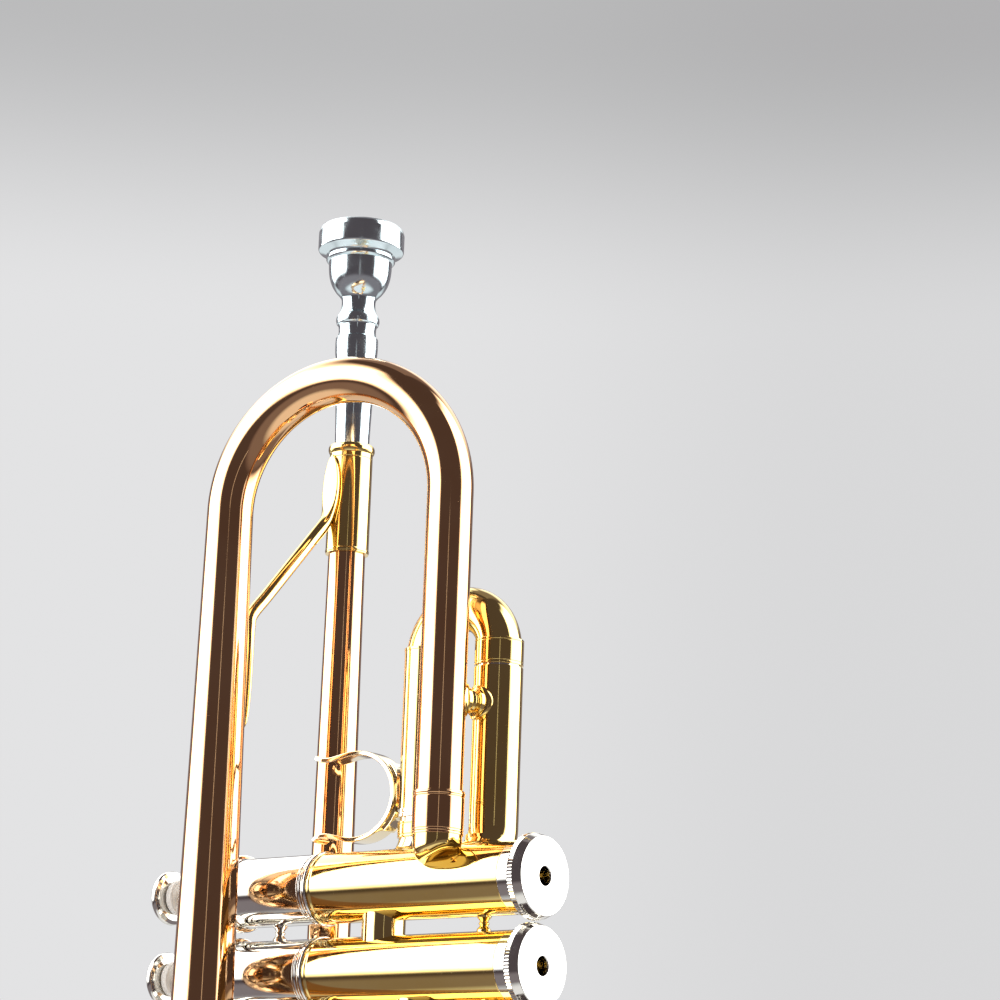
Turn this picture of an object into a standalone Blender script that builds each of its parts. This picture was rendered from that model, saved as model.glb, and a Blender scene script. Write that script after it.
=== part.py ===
"""B-flat trumpet, standing on its bell rim with the mouthpiece up.

Metres. +Z runs from the bell rim to the mouthpiece, +X from the finger buttons to the
bottom valve caps, and +Y from the bell to the leadpipe. Places are worked out from the
first valve's axis line, and ORIGIN moves the finished pieces over the bell rim's plane.
"""
import math

import bmesh
import bpy
from mathutils import Vector

# ---- Driving dimensions -------------------------------------------------------------
FIT_GAP = 0.0003            # left between soldered or resting pieces
RUNNING = 0.00005           # radial clearance of the sliding tubes and the pistons
WALL = 0.00055              # sheet thickness of the tubing

VALVE_1_Z = 0.337
VALVE_PITCH = 0.0235
CASING_R = 0.00977
CASING_BORE_R = 0.0086
CASING_BEAD_R = 0.0104
CASING_BEAD_X = -0.0164
THREAD_R = 0.0094
CASING_TOP_X = -0.0500
CASING_BOTTOM_X = 0.0572
TOP_CAP_X = -0.0465
BOTTOM_CAP_X = 0.0553
TOP_CAP_R = 0.01095
BOTTOM_CAP_R = 0.0115
CAP_BORE_R = THREAD_R + FIT_GAP
CAP_FACE_X = 0.0600
CAP_TOP_X = -0.0540
VENT_R = 0.0026

PISTON_R = CASING_BORE_R - RUNNING
PISTON_TOP_X = -0.0135
PISTON_BOTTOM_X = 0.0375
BARREL_TOP_X = -0.0490
BARREL_R = 0.0079
BARREL_BORE_R = 0.0070
SLOT_WIDTH = 0.0034
STEM_R = 0.0021
BUTTON_X = -0.0772
BUTTON_R = 0.0078

BELL_X = -0.0397
BELL_Y = -0.0237
BELL_TAIL_X = 0.0313
BELL_TAIL_Y = -0.0105
BELL_RIM_R = 0.0615
BELL_BEAD_R = 0.0014
BELL_WALL = 0.0006
RIM_FLAT = 0.0016           # width of the flat that the trumpet stands on
BOW_START_Z = VALVE_1_Z + 0.1054
TAIL_TUBE_R = 0.0064
FERRULE_R = 0.0071
FERRULE_TOP = 0.0227        # heights below are above the first valve's axis
FERRULE_BOTTOM = 0.0110
TAIL_END = 0.0170

LEADPIPE_X = -0.0306
LEADPIPE_Y = 0.0179
LEADPIPE_TOP_R = 0.00540
LEADPIPE_BOTTOM_R = 0.00620
RECEIVER_R = 0.00635
RECEIVER_BORE_R = 0.00545
RECEIVER_BEAD_R = 0.00690
RECEIVER_BOTTOM = 0.1010
RECEIVER_TOP = 0.1340

MOUTHPIECE_TOP = 0.2026
MOUTHPIECE_RIM_R = 0.01295
SHANK_INSET = 0.0240

SLEEVE_R = 0.00675          # outer tubes of the valve slides
SLEEVE_BORE_R = 0.00620
INNER_R = SLEEVE_BORE_R - RUNNING
INNER_BORE_R = 0.00580
CROOK_R = 0.00620
CROOK_BORE_R = 0.00565
SLIDE_FERRULE_R = 0.00660

FIRST_Y = 0.0065
FIRST_UPPER_X = 0.0119
FIRST_LOWER_X = 0.0369
FIRST_CROOK_Z = 0.0640
FIRST_SLEEVE_BOTTOM = 0.0185
FIRST_TUBE_TOP = 0.0588
POST_HEIGHT = 0.0484

SECOND_UPPER_X = -0.0040
SECOND_LOWER_X = 0.0140
SECOND_TUBE_END_Y = 0.0300
SECOND_CROOK_Y = 0.0350
SECOND_KNOB_END_Y = 0.0555

THIRD_UPPER_X = -0.0060
THIRD_LOWER_X = 0.0200
THIRD_TUBE_END_Z = 0.2050
THIRD_CROOK_Z = 0.1370

TUNING_LOWER_X = 0.0214
TUNING_SLEEVE_R = 0.00690
TUNING_BORE_R = 0.00635
TUNING_TUBE_BOTTOM_Z = 0.1210
TUNING_TUBE_TOP_Z = 0.2050
TUNING_CROOK_Z = 0.1104
LEADPIPE_BOTTOM_Z = 0.2056

TUBE_SIDES = 16
BELL_SIDES = 24
ROD_SIDES = 8
CROOK_STEPS = 8

# The origin is on the rim's plane, under the middle of the trumpet's box.
ORIGIN = Vector((
    (BELL_X - BELL_RIM_R + CAP_FACE_X) / 2,
    (BELL_Y - BELL_RIM_R + SECOND_KNOB_END_Y) / 2,
    0.0))

VALVE_Z = [VALVE_1_Z - VALVE_PITCH * index for index in range(3)]

AXIS_X = Vector((1, 0, 0))
AXIS_Y = Vector((0, 1, 0))
AXIS_Z = Vector((0, 0, 1))

LOOKS = {
    "gold_brass": ((0.80, 0.42, 0.16), 0.14, 1.0),
    "yellow_brass": ((0.90, 0.62, 0.20), 0.12, 1.0),
    "nickel": ((0.78, 0.76, 0.72), 0.16, 1.0),
    "silver": ((0.86, 0.86, 0.87), 0.10, 1.0),
    "steel": ((0.55, 0.55, 0.56), 0.30, 1.0),
    "pearl": ((0.92, 0.90, 0.86), 0.18, 0.0),
    "nylon": ((0.88, 0.88, 0.84), 0.45, 0.0),
    "cork": ((0.62, 0.42, 0.25), 0.85, 0.0),
}


# ---- Building tools -----------------------------------------------------------------
def material_for(look):
    """The Principled material of one look, made when a piece first asks for it."""
    material = bpy.data.materials.get(look)
    if material:
        return material
    colour, roughness, metallic = LOOKS[look]
    material = bpy.data.materials.new(look)
    material.use_nodes = True
    shader = material.node_tree.nodes["Principled BSDF"]
    shader.inputs["Base Color"].default_value = (*colour, 1.0)
    shader.inputs["Roughness"].default_value = roughness
    shader.inputs["Metallic"].default_value = metallic
    return material


def finish(name, mesh_data, look, pivot):
    """Turn a bmesh drawn about the valve axis into an object whose origin is pivot."""
    bmesh.ops.recalc_face_normals(mesh_data, faces=mesh_data.faces)
    bmesh.ops.translate(mesh_data, verts=mesh_data.verts, vec=-pivot)
    mesh = bpy.data.meshes.new(name)
    mesh_data.to_mesh(mesh)
    mesh_data.free()
    mesh.shade_smooth()
    mesh.set_sharp_from_angle(angle=math.radians(35))
    mesh.materials.append(material_for(look))
    piece = bpy.data.objects.new(name, mesh)
    piece.location = pivot - ORIGIN
    bpy.context.scene.collection.objects.link(piece)
    return piece


def side_vector(direction):
    """A unit vector across direction, the same for every piece along one axis."""
    reference = AXIS_X if abs(direction.x) < 0.7 else AXIS_Y
    across = reference - direction * reference.dot(direction)
    return across.normalized()


def ring(mesh_data, centre, across, direction, radius, sides):
    """A ring of vertices about direction, its first one along across."""
    up = direction.cross(across)
    vertices = []
    for side in range(sides):
        turn = 2 * math.pi * side / sides
        offset = (across * math.cos(turn) + up * math.sin(turn)) * radius
        vertices.append(mesh_data.verts.new(centre + offset))
    return vertices


def skin(mesh_data, first, second):
    """Faces between two rings, either of which may be a single pole vertex."""
    count = max(len(first), len(second))
    for side in range(count):
        after = (side + 1) % count
        corners = [first[side % len(first)], first[after % len(first)],
                   second[after % len(second)], second[side % len(second)]]
        unique = list(dict.fromkeys(corners))
        mesh_data.faces.new(unique)


def turned(name, outline, start, direction, look, sides=TUBE_SIDES, pivot=None):
    """A closed outline of (distance along, radius) turned about direction."""
    direction = direction.normalized()
    across = side_vector(direction)
    mesh_data = bmesh.new()
    rings = []
    for along, radius in outline:
        centre = start + direction * along
        if radius == 0:
            rings.append([mesh_data.verts.new(centre)])
        else:
            rings.append(ring(mesh_data, centre, across, direction, radius, sides))
    for index, current in enumerate(rings):
        following = rings[(index + 1) % len(rings)]
        if len(current) > 1 or len(following) > 1:
            skin(mesh_data, current, following)
    return finish(name, mesh_data, look, pivot or start)


def directions_along(path):
    """The unit direction of a path at each of its points."""
    result = []
    for index in range(len(path)):
        before = path[max(index - 1, 0)]
        after = path[min(index + 1, len(path) - 1)]
        result.append((after - before).normalized())
    return result


def swept(name, path, outer, look, bore=None, sides=TUBE_SIDES, across=None,
          trim_start=None, trim_end=None, pivot=None):
    """A tube, or a rod where bore is None, along path with a radius for each point."""
    directions = directions_along(path)
    across = across or side_vector(directions[0])
    frames = []
    for direction in directions:
        across = (across - direction * across.dot(direction)).normalized()
        frames.append(across)
    mesh_data = bmesh.new()

    def layer(radii):
        rings = [ring(mesh_data, point, frames[index], directions[index], radii[index], sides)
                 for index, point in enumerate(path)]
        for vertex in rings[0]:
            if trim_start:
                vertex.co = trim_start(vertex.co, -directions[0])
        for vertex in rings[-1]:
            if trim_end:
                vertex.co = trim_end(vertex.co, directions[-1])
        for first, second in zip(rings, rings[1:]):
            skin(mesh_data, first, second)
        return rings

    outside = layer(outer)
    if bore:
        inside = layer(bore)
        skin(mesh_data, outside[0], inside[0])
        skin(mesh_data, outside[-1], inside[-1])
    else:
        for index in (0, -1):
            centre = sum((vertex.co for vertex in outside[index]), Vector()) / sides
            skin(mesh_data, outside[index], [mesh_data.verts.new(centre)])
    return finish(name, mesh_data, look, pivot or path[0])


def strip(name, path, width_axis, width, thickness, look, pivot=None):
    """A flat strip bent along path, its width along width_axis."""
    mesh_data = bmesh.new()
    rings = []
    for point, direction in zip(path, directions_along(path)):
        normal = direction.cross(width_axis).normalized()
        corners = [(-1, -1), (1, -1), (1, 1), (-1, 1)]
        rings.append([mesh_data.verts.new(
            point + width_axis * (width / 2 * wide) + normal * (thickness / 2 * deep))
            for wide, deep in corners])
    for first, second in zip(rings, rings[1:]):
        skin(mesh_data, first, second)
    mesh_data.faces.new(rings[0])
    mesh_data.faces.new(rings[-1])
    return finish(name, mesh_data, look, pivot or path[0])


def onto_casing(valve, radius=CASING_R + FIT_GAP):
    """A trim that runs a tube's end out to a valve casing's round wall."""
    axis_z = VALVE_Z[valve]

    def trim(point, direction):
        gap = Vector((0, point.y, point.z - axis_z))
        flat = Vector((0, direction.y, direction.z))
        length = flat.length_squared
        middle = gap.dot(flat) / length
        inside = middle * middle - (gap.length_squared - radius * radius) / length
        return point + direction * (-middle - math.sqrt(inside))
    return trim


def straight(x, y, first_z, last_z):
    """Two points on a line along Z."""
    return [Vector((x, y, first_z)), Vector((x, y, last_z))]


def arc(centre, first, second, start, end, steps):
    """Points about centre, at angles from the vector first towards the vector second."""
    points = []
    for step in range(steps + 1):
        turn = math.radians(start + (end - start) * step / steps)
        points.append(centre + first * math.cos(turn) + second * math.sin(turn))
    return points


def sleeve_outline(length, outer, bore):
    """A plain sleeve's outline."""
    return [(0, bore), (0, outer), (length, outer), (length, bore)]


def cut(piece, cutter):
    """Take the cutter's shape out of a piece, keeping the cutter as a hidden guide."""
    cutter.hide_render = True
    cutter.display_type = "WIRE"
    boolean = piece.modifiers.new("cut", "BOOLEAN")
    boolean.operation = "DIFFERENCE"
    boolean.solver = "EXACT"
    boolean.object = cutter


def box(name, centre, size, look, pivot=None):
    """A plain block."""
    mesh_data = bmesh.new()
    bmesh.ops.create_cube(mesh_data, size=1.0)
    bmesh.ops.scale(mesh_data, vec=size, verts=mesh_data.verts)
    bmesh.ops.translate(mesh_data, vec=centre, verts=mesh_data.verts)
    return finish(name, mesh_data, look, pivot or centre)


# ---- Bell ---------------------------------------------------------------------------
def bell_radius(height):
    """Outer radius of the bell's stem and flare, a horn curve plus a slow taper."""
    horn = 0.0571 * (0.015 / (height + 0.015)) ** 0.75
    return horn + 0.0044 - 0.005 * height


def make_bell():
    """Rim, flare, stem, bow and tail in one sheet, open at both ends."""
    stem_foot = Vector((BELL_X, BELL_Y, 0))
    tail_foot = Vector((BELL_TAIL_X, BELL_TAIL_Y, 0))
    middle = (stem_foot + tail_foot) / 2 + AXIS_Z * BOW_START_Z
    reach = (stem_foot - tail_foot) / 2
    path = []
    outer = []
    for degrees in (-90, -35, 30, 85):
        turn = math.radians(degrees)
        path.append(stem_foot + AXIS_Z * BELL_BEAD_R * (1 + math.sin(turn)))
        outer.append(BELL_RIM_R - BELL_BEAD_R * (1 - math.cos(turn)))
    flare_heights = [0.0045, 0.008, 0.013, 0.021, 0.034, 0.055, 0.085, 0.130, 0.200, 0.300,
                     VALVE_1_Z + 0.060]
    for height in flare_heights:
        path.append(stem_foot + AXIS_Z * height)
        outer.append(bell_radius(height))
    bow = arc(middle, reach, AXIS_Z * reach.length, 0, 180, 12)
    for index, point in enumerate(bow):
        share = index / (len(bow) - 1)
        path.append(point)
        outer.append(bell_radius(BOW_START_Z) * (1 - share) + TAIL_TUBE_R * share)
    path.append(tail_foot + AXIS_Z * (VALVE_1_Z + TAIL_END))
    outer.append(TAIL_TUBE_R)
    bore = [radius - BELL_WALL for radius in outer]
    bore[:4] = [BELL_RIM_R - BELL_BEAD_R - RIM_FLAT] * 4
    swept("bell", path, outer, "gold_brass", bore=bore, sides=BELL_SIDES, across=reach)


def make_bell_ferrule():
    """Sleeve over the joint of the bell's tail and the first valve's knuckle."""
    reach = Vector((BELL_X - BELL_TAIL_X, BELL_Y - BELL_TAIL_Y, 0))
    path = straight(BELL_TAIL_X, BELL_TAIL_Y, VALVE_1_Z + FERRULE_TOP,
                    VALVE_1_Z + FERRULE_BOTTOM)
    swept("bell_ferrule", path, [FERRULE_R] * 2, "gold_brass",
          bore=[TAIL_TUBE_R + FIT_GAP] * 2, sides=BELL_SIDES, across=reach)


def make_bell_knuckle():
    """Short elbow from the ferrule onto the first casing's upper left quarter."""
    reach = Vector((BELL_X - BELL_TAIL_X, BELL_Y - BELL_TAIL_Y, 0))
    bend_r = 0.0100
    bend_z = VALVE_1_Z + FERRULE_BOTTOM - FIT_GAP
    path = straight(BELL_TAIL_X, BELL_TAIL_Y, VALVE_1_Z + TAIL_END - FIT_GAP, bend_z)
    bend = arc(Vector((BELL_TAIL_X, BELL_TAIL_Y + bend_r, bend_z)),
               -AXIS_Y * bend_r, -AXIS_Z * bend_r, 12, 50, 3)
    path += bend
    count = len(path)
    swept("bell_knuckle", path, [TAIL_TUBE_R] * count, "yellow_brass",
          bore=[TAIL_TUBE_R - WALL] * count, sides=BELL_SIDES, across=reach,
          trim_end=onto_casing(0))


# ---- Leadpipe and mouthpiece --------------------------------------------------------
def make_leadpipe():
    """Slightly tapered pipe from the receiver to the tuning slide's upper tube."""
    path = straight(LEADPIPE_X, LEADPIPE_Y, VALVE_1_Z + 0.1060, LEADPIPE_BOTTOM_Z)
    path.insert(1, Vector((LEADPIPE_X, LEADPIPE_Y, VALVE_1_Z)))
    outer = [LEADPIPE_TOP_R, LEADPIPE_BOTTOM_R - 0.00006, LEADPIPE_BOTTOM_R]
    swept("leadpipe", path, outer, "gold_brass", bore=[radius - WALL for radius in outer])


def make_receiver():
    """Mouthpiece receiver, a thick sleeve with a bead round its mouth."""
    length = RECEIVER_TOP - RECEIVER_BOTTOM
    outline = [(0, RECEIVER_BORE_R), (0, RECEIVER_R), (length - 0.0026, RECEIVER_R),
               (length - 0.0020, RECEIVER_BEAD_R), (length - 0.0006, RECEIVER_BEAD_R),
               (length, RECEIVER_R + 0.0002), (length, RECEIVER_BORE_R)]
    start = Vector((LEADPIPE_X, LEADPIPE_Y, VALVE_1_Z + RECEIVER_BOTTOM))
    turned("mouthpiece_receiver", outline, start, AXIS_Z, "gold_brass")


def make_mouthpiece():
    """Turned mouthpiece with a rim, cup, beads, shank, throat and backbore."""
    bottom = RECEIVER_TOP - SHANK_INSET
    total = MOUTHPIECE_TOP - bottom
    outside = [(0, 0.0048), (SHANK_INSET + 0.0005, 0.0051), (total - 0.0385, 0.0063),
               (total - 0.0355, 0.0064), (total - 0.0330, 0.0056), (total - 0.0295, 0.0064),
               (total - 0.0262, 0.0052), (total - 0.0226, 0.0052), (total - 0.0205, 0.0070),
               (total - 0.0180, 0.0084), (total - 0.0145, 0.0093), (total - 0.0110, 0.0095), (total - 0.0104, 0.0102),
               (total - 0.0078, MOUTHPIECE_RIM_R), (total - 0.0016, MOUTHPIECE_RIM_R),
               (total - 0.0003, MOUTHPIECE_RIM_R - 0.0014), (total, MOUTHPIECE_RIM_R - 0.0028)]
    inside = [(total - 0.0008, 0.0084), (total - 0.0040, 0.0078), (total - 0.0090, 0.0062),
              (total - 0.0125, 0.0036), (total - 0.0140, 0.00185), (total - 0.0180, 0.00185),
              (0, 0.0039)]
    start = Vector((LEADPIPE_X, LEADPIPE_Y, VALVE_1_Z + bottom))
    turned("mouthpiece", outside + inside, start, AXIS_Z, "silver", sides=20)


# ---- Valves -------------------------------------------------------------------------
def make_casing(index):
    """Valve casing with threaded ends and the bead where its two halves join."""
    outline = [(CASING_TOP_X, CASING_BORE_R), (CASING_TOP_X, THREAD_R),
               (TOP_CAP_X, THREAD_R), (TOP_CAP_X, CASING_R),
               (CASING_BEAD_X - 0.0012, CASING_R), (CASING_BEAD_X, CASING_BEAD_R),
               (CASING_BEAD_X + 0.0012, CASING_R), (BOTTOM_CAP_X, CASING_R),
               (BOTTOM_CAP_X, THREAD_R), (CASING_BOTTOM_X, THREAD_R),
               (CASING_BOTTOM_X, CASING_BORE_R)]
    turned(f"valve_casing_{index + 1}", outline, Vector((0, 0, VALVE_Z[index])), AXIS_X,
           "yellow_brass")


def make_bottom_cap(index):
    """Screwed bottom cap with a vent hole in its face."""
    inner_x = CASING_BOTTOM_X + FIT_GAP
    outline = [(BOTTOM_CAP_X + FIT_GAP, CAP_BORE_R), (BOTTOM_CAP_X + FIT_GAP, BOTTOM_CAP_R),
               (CAP_FACE_X - 0.0004, BOTTOM_CAP_R), (CAP_FACE_X, BOTTOM_CAP_R - 0.0004),
               (CAP_FACE_X, VENT_R), (inner_x + 0.0012, VENT_R),
               (inner_x + 0.0012, CAP_BORE_R)]
    turned(f"bottom_cap_{index + 1}", outline, Vector((0, 0, VALVE_Z[index])), AXIS_X,
           "nickel")


def make_top_cap(index):
    """Screwed top cap that guides the piston's stem."""
    outline = [(TOP_CAP_X - FIT_GAP, CAP_BORE_R), (TOP_CAP_X - FIT_GAP, TOP_CAP_R),
               (CAP_TOP_X + 0.0015, TOP_CAP_R), (CAP_TOP_X, TOP_CAP_R - 0.0030),
               (CAP_TOP_X, STEM_R + FIT_GAP), (CASING_TOP_X - 0.0012, STEM_R + FIT_GAP),
               (CASING_TOP_X - 0.0012, CAP_BORE_R)]
    turned(f"top_cap_{index + 1}", outline, Vector((0, 0, VALVE_Z[index])), AXIS_X,
           "nickel")


def make_piston(index):
    """Piston with its slotted spring barrel and the stem up to the finger button."""
    axis = Vector((0, 0, VALVE_Z[index]))
    outline = [(PISTON_BOTTOM_X, 0), (PISTON_BOTTOM_X, PISTON_R), (PISTON_TOP_X, PISTON_R),
               (PISTON_TOP_X, BARREL_R), (BARREL_TOP_X, BARREL_R), (BARREL_TOP_X, STEM_R),
               (BUTTON_X + 0.0035, STEM_R), (BUTTON_X + 0.0035, 0)]
    barrel_room = [(BARREL_TOP_X + 0.0012, 0), (BARREL_TOP_X + 0.0012, BARREL_BORE_R),
                   (PISTON_TOP_X - 0.0008, BARREL_BORE_R), (PISTON_TOP_X - 0.0008, 0)]
    piston = turned(f"piston_{index + 1}", outline, axis, AXIS_X, "nickel")
    room = turned(f"barrel_room_{index + 1}", barrel_room, axis, AXIS_X, "nickel")
    slot_start = BARREL_TOP_X + 0.0120
    slot_end = PISTON_TOP_X - 0.0012
    slot = box(f"barrel_slot_{index + 1}",
               axis + AXIS_X * (slot_start + slot_end) / 2,
               (slot_end - slot_start, 0.0200, SLOT_WIDTH), "nickel", pivot=axis)
    cut(piston, room)
    cut(piston, slot)


def make_valve_guide(index):
    """Guide bar across the barrel's slots, its ends keyed in the casing."""
    width = SLOT_WIDTH - 2 * FIT_GAP
    centre = Vector((PISTON_TOP_X - 0.0030, 0, VALVE_Z[index]))
    box(f"valve_guide_{index + 1}", centre,
        (0.0022, 2 * (CASING_BORE_R - FIT_GAP), width), "nylon")


def make_spring(index):
    """Coil spring between the guide and the top of the barrel."""
    start = PISTON_TOP_X - 0.0030 - 0.0011 - FIT_GAP
    end = BARREL_TOP_X + 0.0012 + FIT_GAP
    wire = 0.0004
    coil_r = 0.0052
    turns = 5
    steps = turns * 8
    path = []
    for step in range(steps + 1):
        turn = 2 * math.pi * turns * step / steps
        along = start - wire + (end - start + 2 * wire) * step / steps
        path.append(Vector((along, coil_r * math.cos(turn),
                            VALVE_Z[index] + coil_r * math.sin(turn))))
    swept(f"valve_spring_{index + 1}", path, [wire] * len(path), "steel", sides=4,
          pivot=Vector((start, 0, VALVE_Z[index])))


def make_button(index):
    """Finger button screwed on the stem, with a seat for the pearl."""
    axis = Vector((0, 0, VALVE_Z[index]))
    outline = [(BUTTON_X + 0.0035 - FIT_GAP, 0), (BUTTON_X + 0.0035 - FIT_GAP, 0.0035),
               (BUTTON_X + 0.0020, BUTTON_R), (BUTTON_X, BUTTON_R),
               (BUTTON_X, BUTTON_R - 0.0012), (BUTTON_X + 0.0012, BUTTON_R - 0.0012),
               (BUTTON_X + 0.0012, 0)]
    turned(f"finger_button_{index + 1}", outline, axis, AXIS_X, "nickel")
    pearl_r = BUTTON_R - 0.0012 - FIT_GAP
    pearl = [(BUTTON_X + 0.0012 - FIT_GAP, 0), (BUTTON_X + 0.0012 - FIT_GAP, pearl_r),
             (BUTTON_X - 0.0004, pearl_r), (BUTTON_X + 0.0001, 0)]
    turned(f"pearl_{index + 1}", pearl, axis, AXIS_X, "pearl")


def make_valve_knuckles():
    """Short tubes that join neighbouring casings."""
    for first, x in ((0, 0.0050), (1, 0.0180)):
        path = straight(x, 0, VALVE_Z[first] - VALVE_PITCH / 2 + 0.0010,
                        VALVE_Z[first] - VALVE_PITCH / 2 - 0.0010)
        swept(f"knuckle_{first + 1}{first + 2}", path, [0.0060] * 2, "yellow_brass",
              bore=[0.0054] * 2, trim_start=onto_casing(first),
              trim_end=onto_casing(first + 1))


# ---- Valve slides -------------------------------------------------------------------
def first_slide_base(x):
    """Path of a first-slide tube where it bends in onto the casing's top."""
    top = VALVE_1_Z + 0.0150
    return arc(Vector((x, FIRST_Y - 0.0120, top)), AXIS_Y * 0.0120, -AXIS_Z * 0.0120,
               10, 30, 2)


def make_first_slide():
    """Fixed tubes and the moving bow of the first valve's slide."""
    for name, x, top, outer, bore in (
            ("first_slide_inner_tube", FIRST_UPPER_X, FIRST_TUBE_TOP, INNER_R, INNER_BORE_R),
            ("first_slide_outer_tube", FIRST_LOWER_X, FIRST_TUBE_TOP, SLEEVE_R,
             SLEEVE_BORE_R)):
        path = straight(x, FIRST_Y, VALVE_1_Z + top, VALVE_1_Z + 0.0150)
        path += first_slide_base(x)
        swept(name, path, [outer] * len(path), "yellow_brass", bore=[bore] * len(path),
              trim_end=onto_casing(0))
    crook_z = VALVE_1_Z + FIRST_CROOK_Z
    radius = (FIRST_LOWER_X - FIRST_UPPER_X) / 2
    centre = Vector(((FIRST_LOWER_X + FIRST_UPPER_X) / 2, FIRST_Y, crook_z))
    crook = arc(centre, -AXIS_X * radius, AXIS_Z * radius, 0, 180, CROOK_STEPS)
    sleeve_top = crook_z - 0.0005
    seat = VALVE_1_Z + FIRST_TUBE_TOP + FIT_GAP
    path = straight(FIRST_UPPER_X, FIRST_Y, VALVE_1_Z + FIRST_SLEEVE_BOTTOM, sleeve_top)
    path += crook
    path += [Vector((FIRST_LOWER_X, FIRST_Y, height))
             for height in (seat, seat - 0.00001, VALVE_1_Z + 0.0200)]
    outer = [SLEEVE_R] * 2 + [CROOK_R] * len(crook) + [SLIDE_FERRULE_R, INNER_R, INNER_R]
    bore = [SLEEVE_BORE_R] * 2 + [CROOK_BORE_R] * len(crook) + [CROOK_BORE_R] * 3
    swept("first_slide_bow", path, outer, "yellow_brass", bore=bore)


def make_thumb_saddle():
    """U-shaped thumb rest on the first slide's sleeve, open towards the buttons."""
    reach, half = 0.0135, 0.0123
    width, thickness = 0.0060, 0.0011
    middle = Vector((FIRST_UPPER_X - SLEEVE_R - FIT_GAP - thickness / 2 - reach,
                     FIRST_Y - 0.0015, VALVE_1_Z + 0.0259))
    curve = arc(middle, AXIS_X * reach, AXIS_Z * half, 90, -90, 10)
    upper = [middle + Vector((-0.0180, 0, half - 0.0016)),
             middle + Vector((-0.0090, 0, half - 0.0012))]
    lower = [middle + Vector((-0.0090, 0, 0.0012 - half)),
             middle + Vector((-0.0180, 0, 0.0016 - half))]
    strip("thumb_saddle", upper + curve + lower, AXIS_Y, width, thickness, "nickel")


def make_second_slide():
    """Outer tubes, bow and pull knob of the second valve's short slide."""
    z = VALVE_Z[1]
    for name, x in (("second_slide_upper_tube", SECOND_UPPER_X),
                    ("second_slide_lower_tube", SECOND_LOWER_X)):
        path = [Vector((x, SECOND_TUBE_END_Y, z)), Vector((x, CASING_R + 0.0020, z))]
        swept(name, path, [SLEEVE_R] * 2, "yellow_brass", bore=[SLEEVE_BORE_R] * 2,
              trim_end=onto_casing(1))
    radius = (SECOND_LOWER_X - SECOND_UPPER_X) / 2
    centre = Vector(((SECOND_LOWER_X + SECOND_UPPER_X) / 2, SECOND_CROOK_Y, z))
    crook = arc(centre, -AXIS_X * radius, AXIS_Y * radius, 0, 180, CROOK_STEPS)
    seat = SECOND_TUBE_END_Y + FIT_GAP
    end = CASING_R + 0.0045
    path = [Vector((SECOND_UPPER_X, y, z)) for y in (end, seat - 0.00001, seat)]
    path += crook
    path += [Vector((SECOND_LOWER_X, y, z)) for y in (seat, seat - 0.00001, end)]
    outer = [INNER_R, INNER_R, SLIDE_FERRULE_R] + [CROOK_R] * len(crook)
    outer += [SLIDE_FERRULE_R, INNER_R, INNER_R]
    swept("second_slide_bow", path, outer, "yellow_brass", bore=[CROOK_BORE_R] * len(path))
    knob_start = SECOND_CROOK_Y + radius + CROOK_R + FIT_GAP
    length = SECOND_KNOB_END_Y - knob_start
    outline = [(0, 0), (0, 0.0020), (length - 0.0030, 0.0016), (length - 0.0025, 0.0036),
               (length - 0.0004, 0.0036), (length, 0)]
    turned("second_slide_knob", outline, Vector((centre.x, knob_start, z)), AXIS_Y,
           "nickel", sides=12)


def make_third_slide():
    """Outer tubes and the long moving bow of the third valve's slide."""
    for name, x in (("third_slide_upper_tube", THIRD_UPPER_X),
                    ("third_slide_lower_tube", THIRD_LOWER_X)):
        path = straight(x, 0, THIRD_TUBE_END_Z, VALVE_Z[2] - CASING_R - 0.0020)
        swept(name, path, [SLEEVE_R] * 2, "yellow_brass", bore=[SLEEVE_BORE_R] * 2,
              trim_end=onto_casing(2))
    radius = (THIRD_LOWER_X - THIRD_UPPER_X) / 2
    centre = Vector(((THIRD_LOWER_X + THIRD_UPPER_X) / 2, 0, THIRD_CROOK_Z))
    crook = arc(centre, -AXIS_X * radius, -AXIS_Z * radius, 0, 180, CROOK_STEPS)
    seat = THIRD_TUBE_END_Z - FIT_GAP
    top = VALVE_Z[2] - CASING_R - 0.0080
    path = [Vector((THIRD_UPPER_X, 0, height))
            for height in (top, seat + 0.00001, seat, seat - 0.0070)]
    path += crook
    path += [Vector((THIRD_LOWER_X, 0, height))
             for height in (seat - 0.0070, seat, seat + 0.00001, top)]
    outer = [INNER_R, INNER_R, SLIDE_FERRULE_R, SLIDE_FERRULE_R] + [CROOK_R] * len(crook)
    outer += [SLIDE_FERRULE_R, SLIDE_FERRULE_R, INNER_R, INNER_R]
    swept("third_slide_bow", path, outer, "yellow_brass", bore=[CROOK_BORE_R] * len(path))


def make_finger_ring():
    """Ring for the left hand on the third slide's upper leg."""
    ring_r = 0.0115
    wire = 0.0015
    centre = Vector((THIRD_UPPER_X - SLIDE_FERRULE_R - FIT_GAP - wire - ring_r, 0,
                     THIRD_TUBE_END_Z - 0.0200))
    mesh_data = bmesh.new()
    rings = []
    for step in range(16):
        turn = 2 * math.pi * step / 16
        outward = AXIS_X * math.cos(turn) + AXIS_Z * math.sin(turn)
        heading = AXIS_Z * math.cos(turn) - AXIS_X * math.sin(turn)
        rings.append(ring(mesh_data, centre + outward * ring_r, outward, heading, wire,
                          ROD_SIDES))
    for index, current in enumerate(rings):
        skin(mesh_data, current, rings[(index + 1) % len(rings)])
    finish("finger_ring", mesh_data, "nickel", centre)


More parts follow.
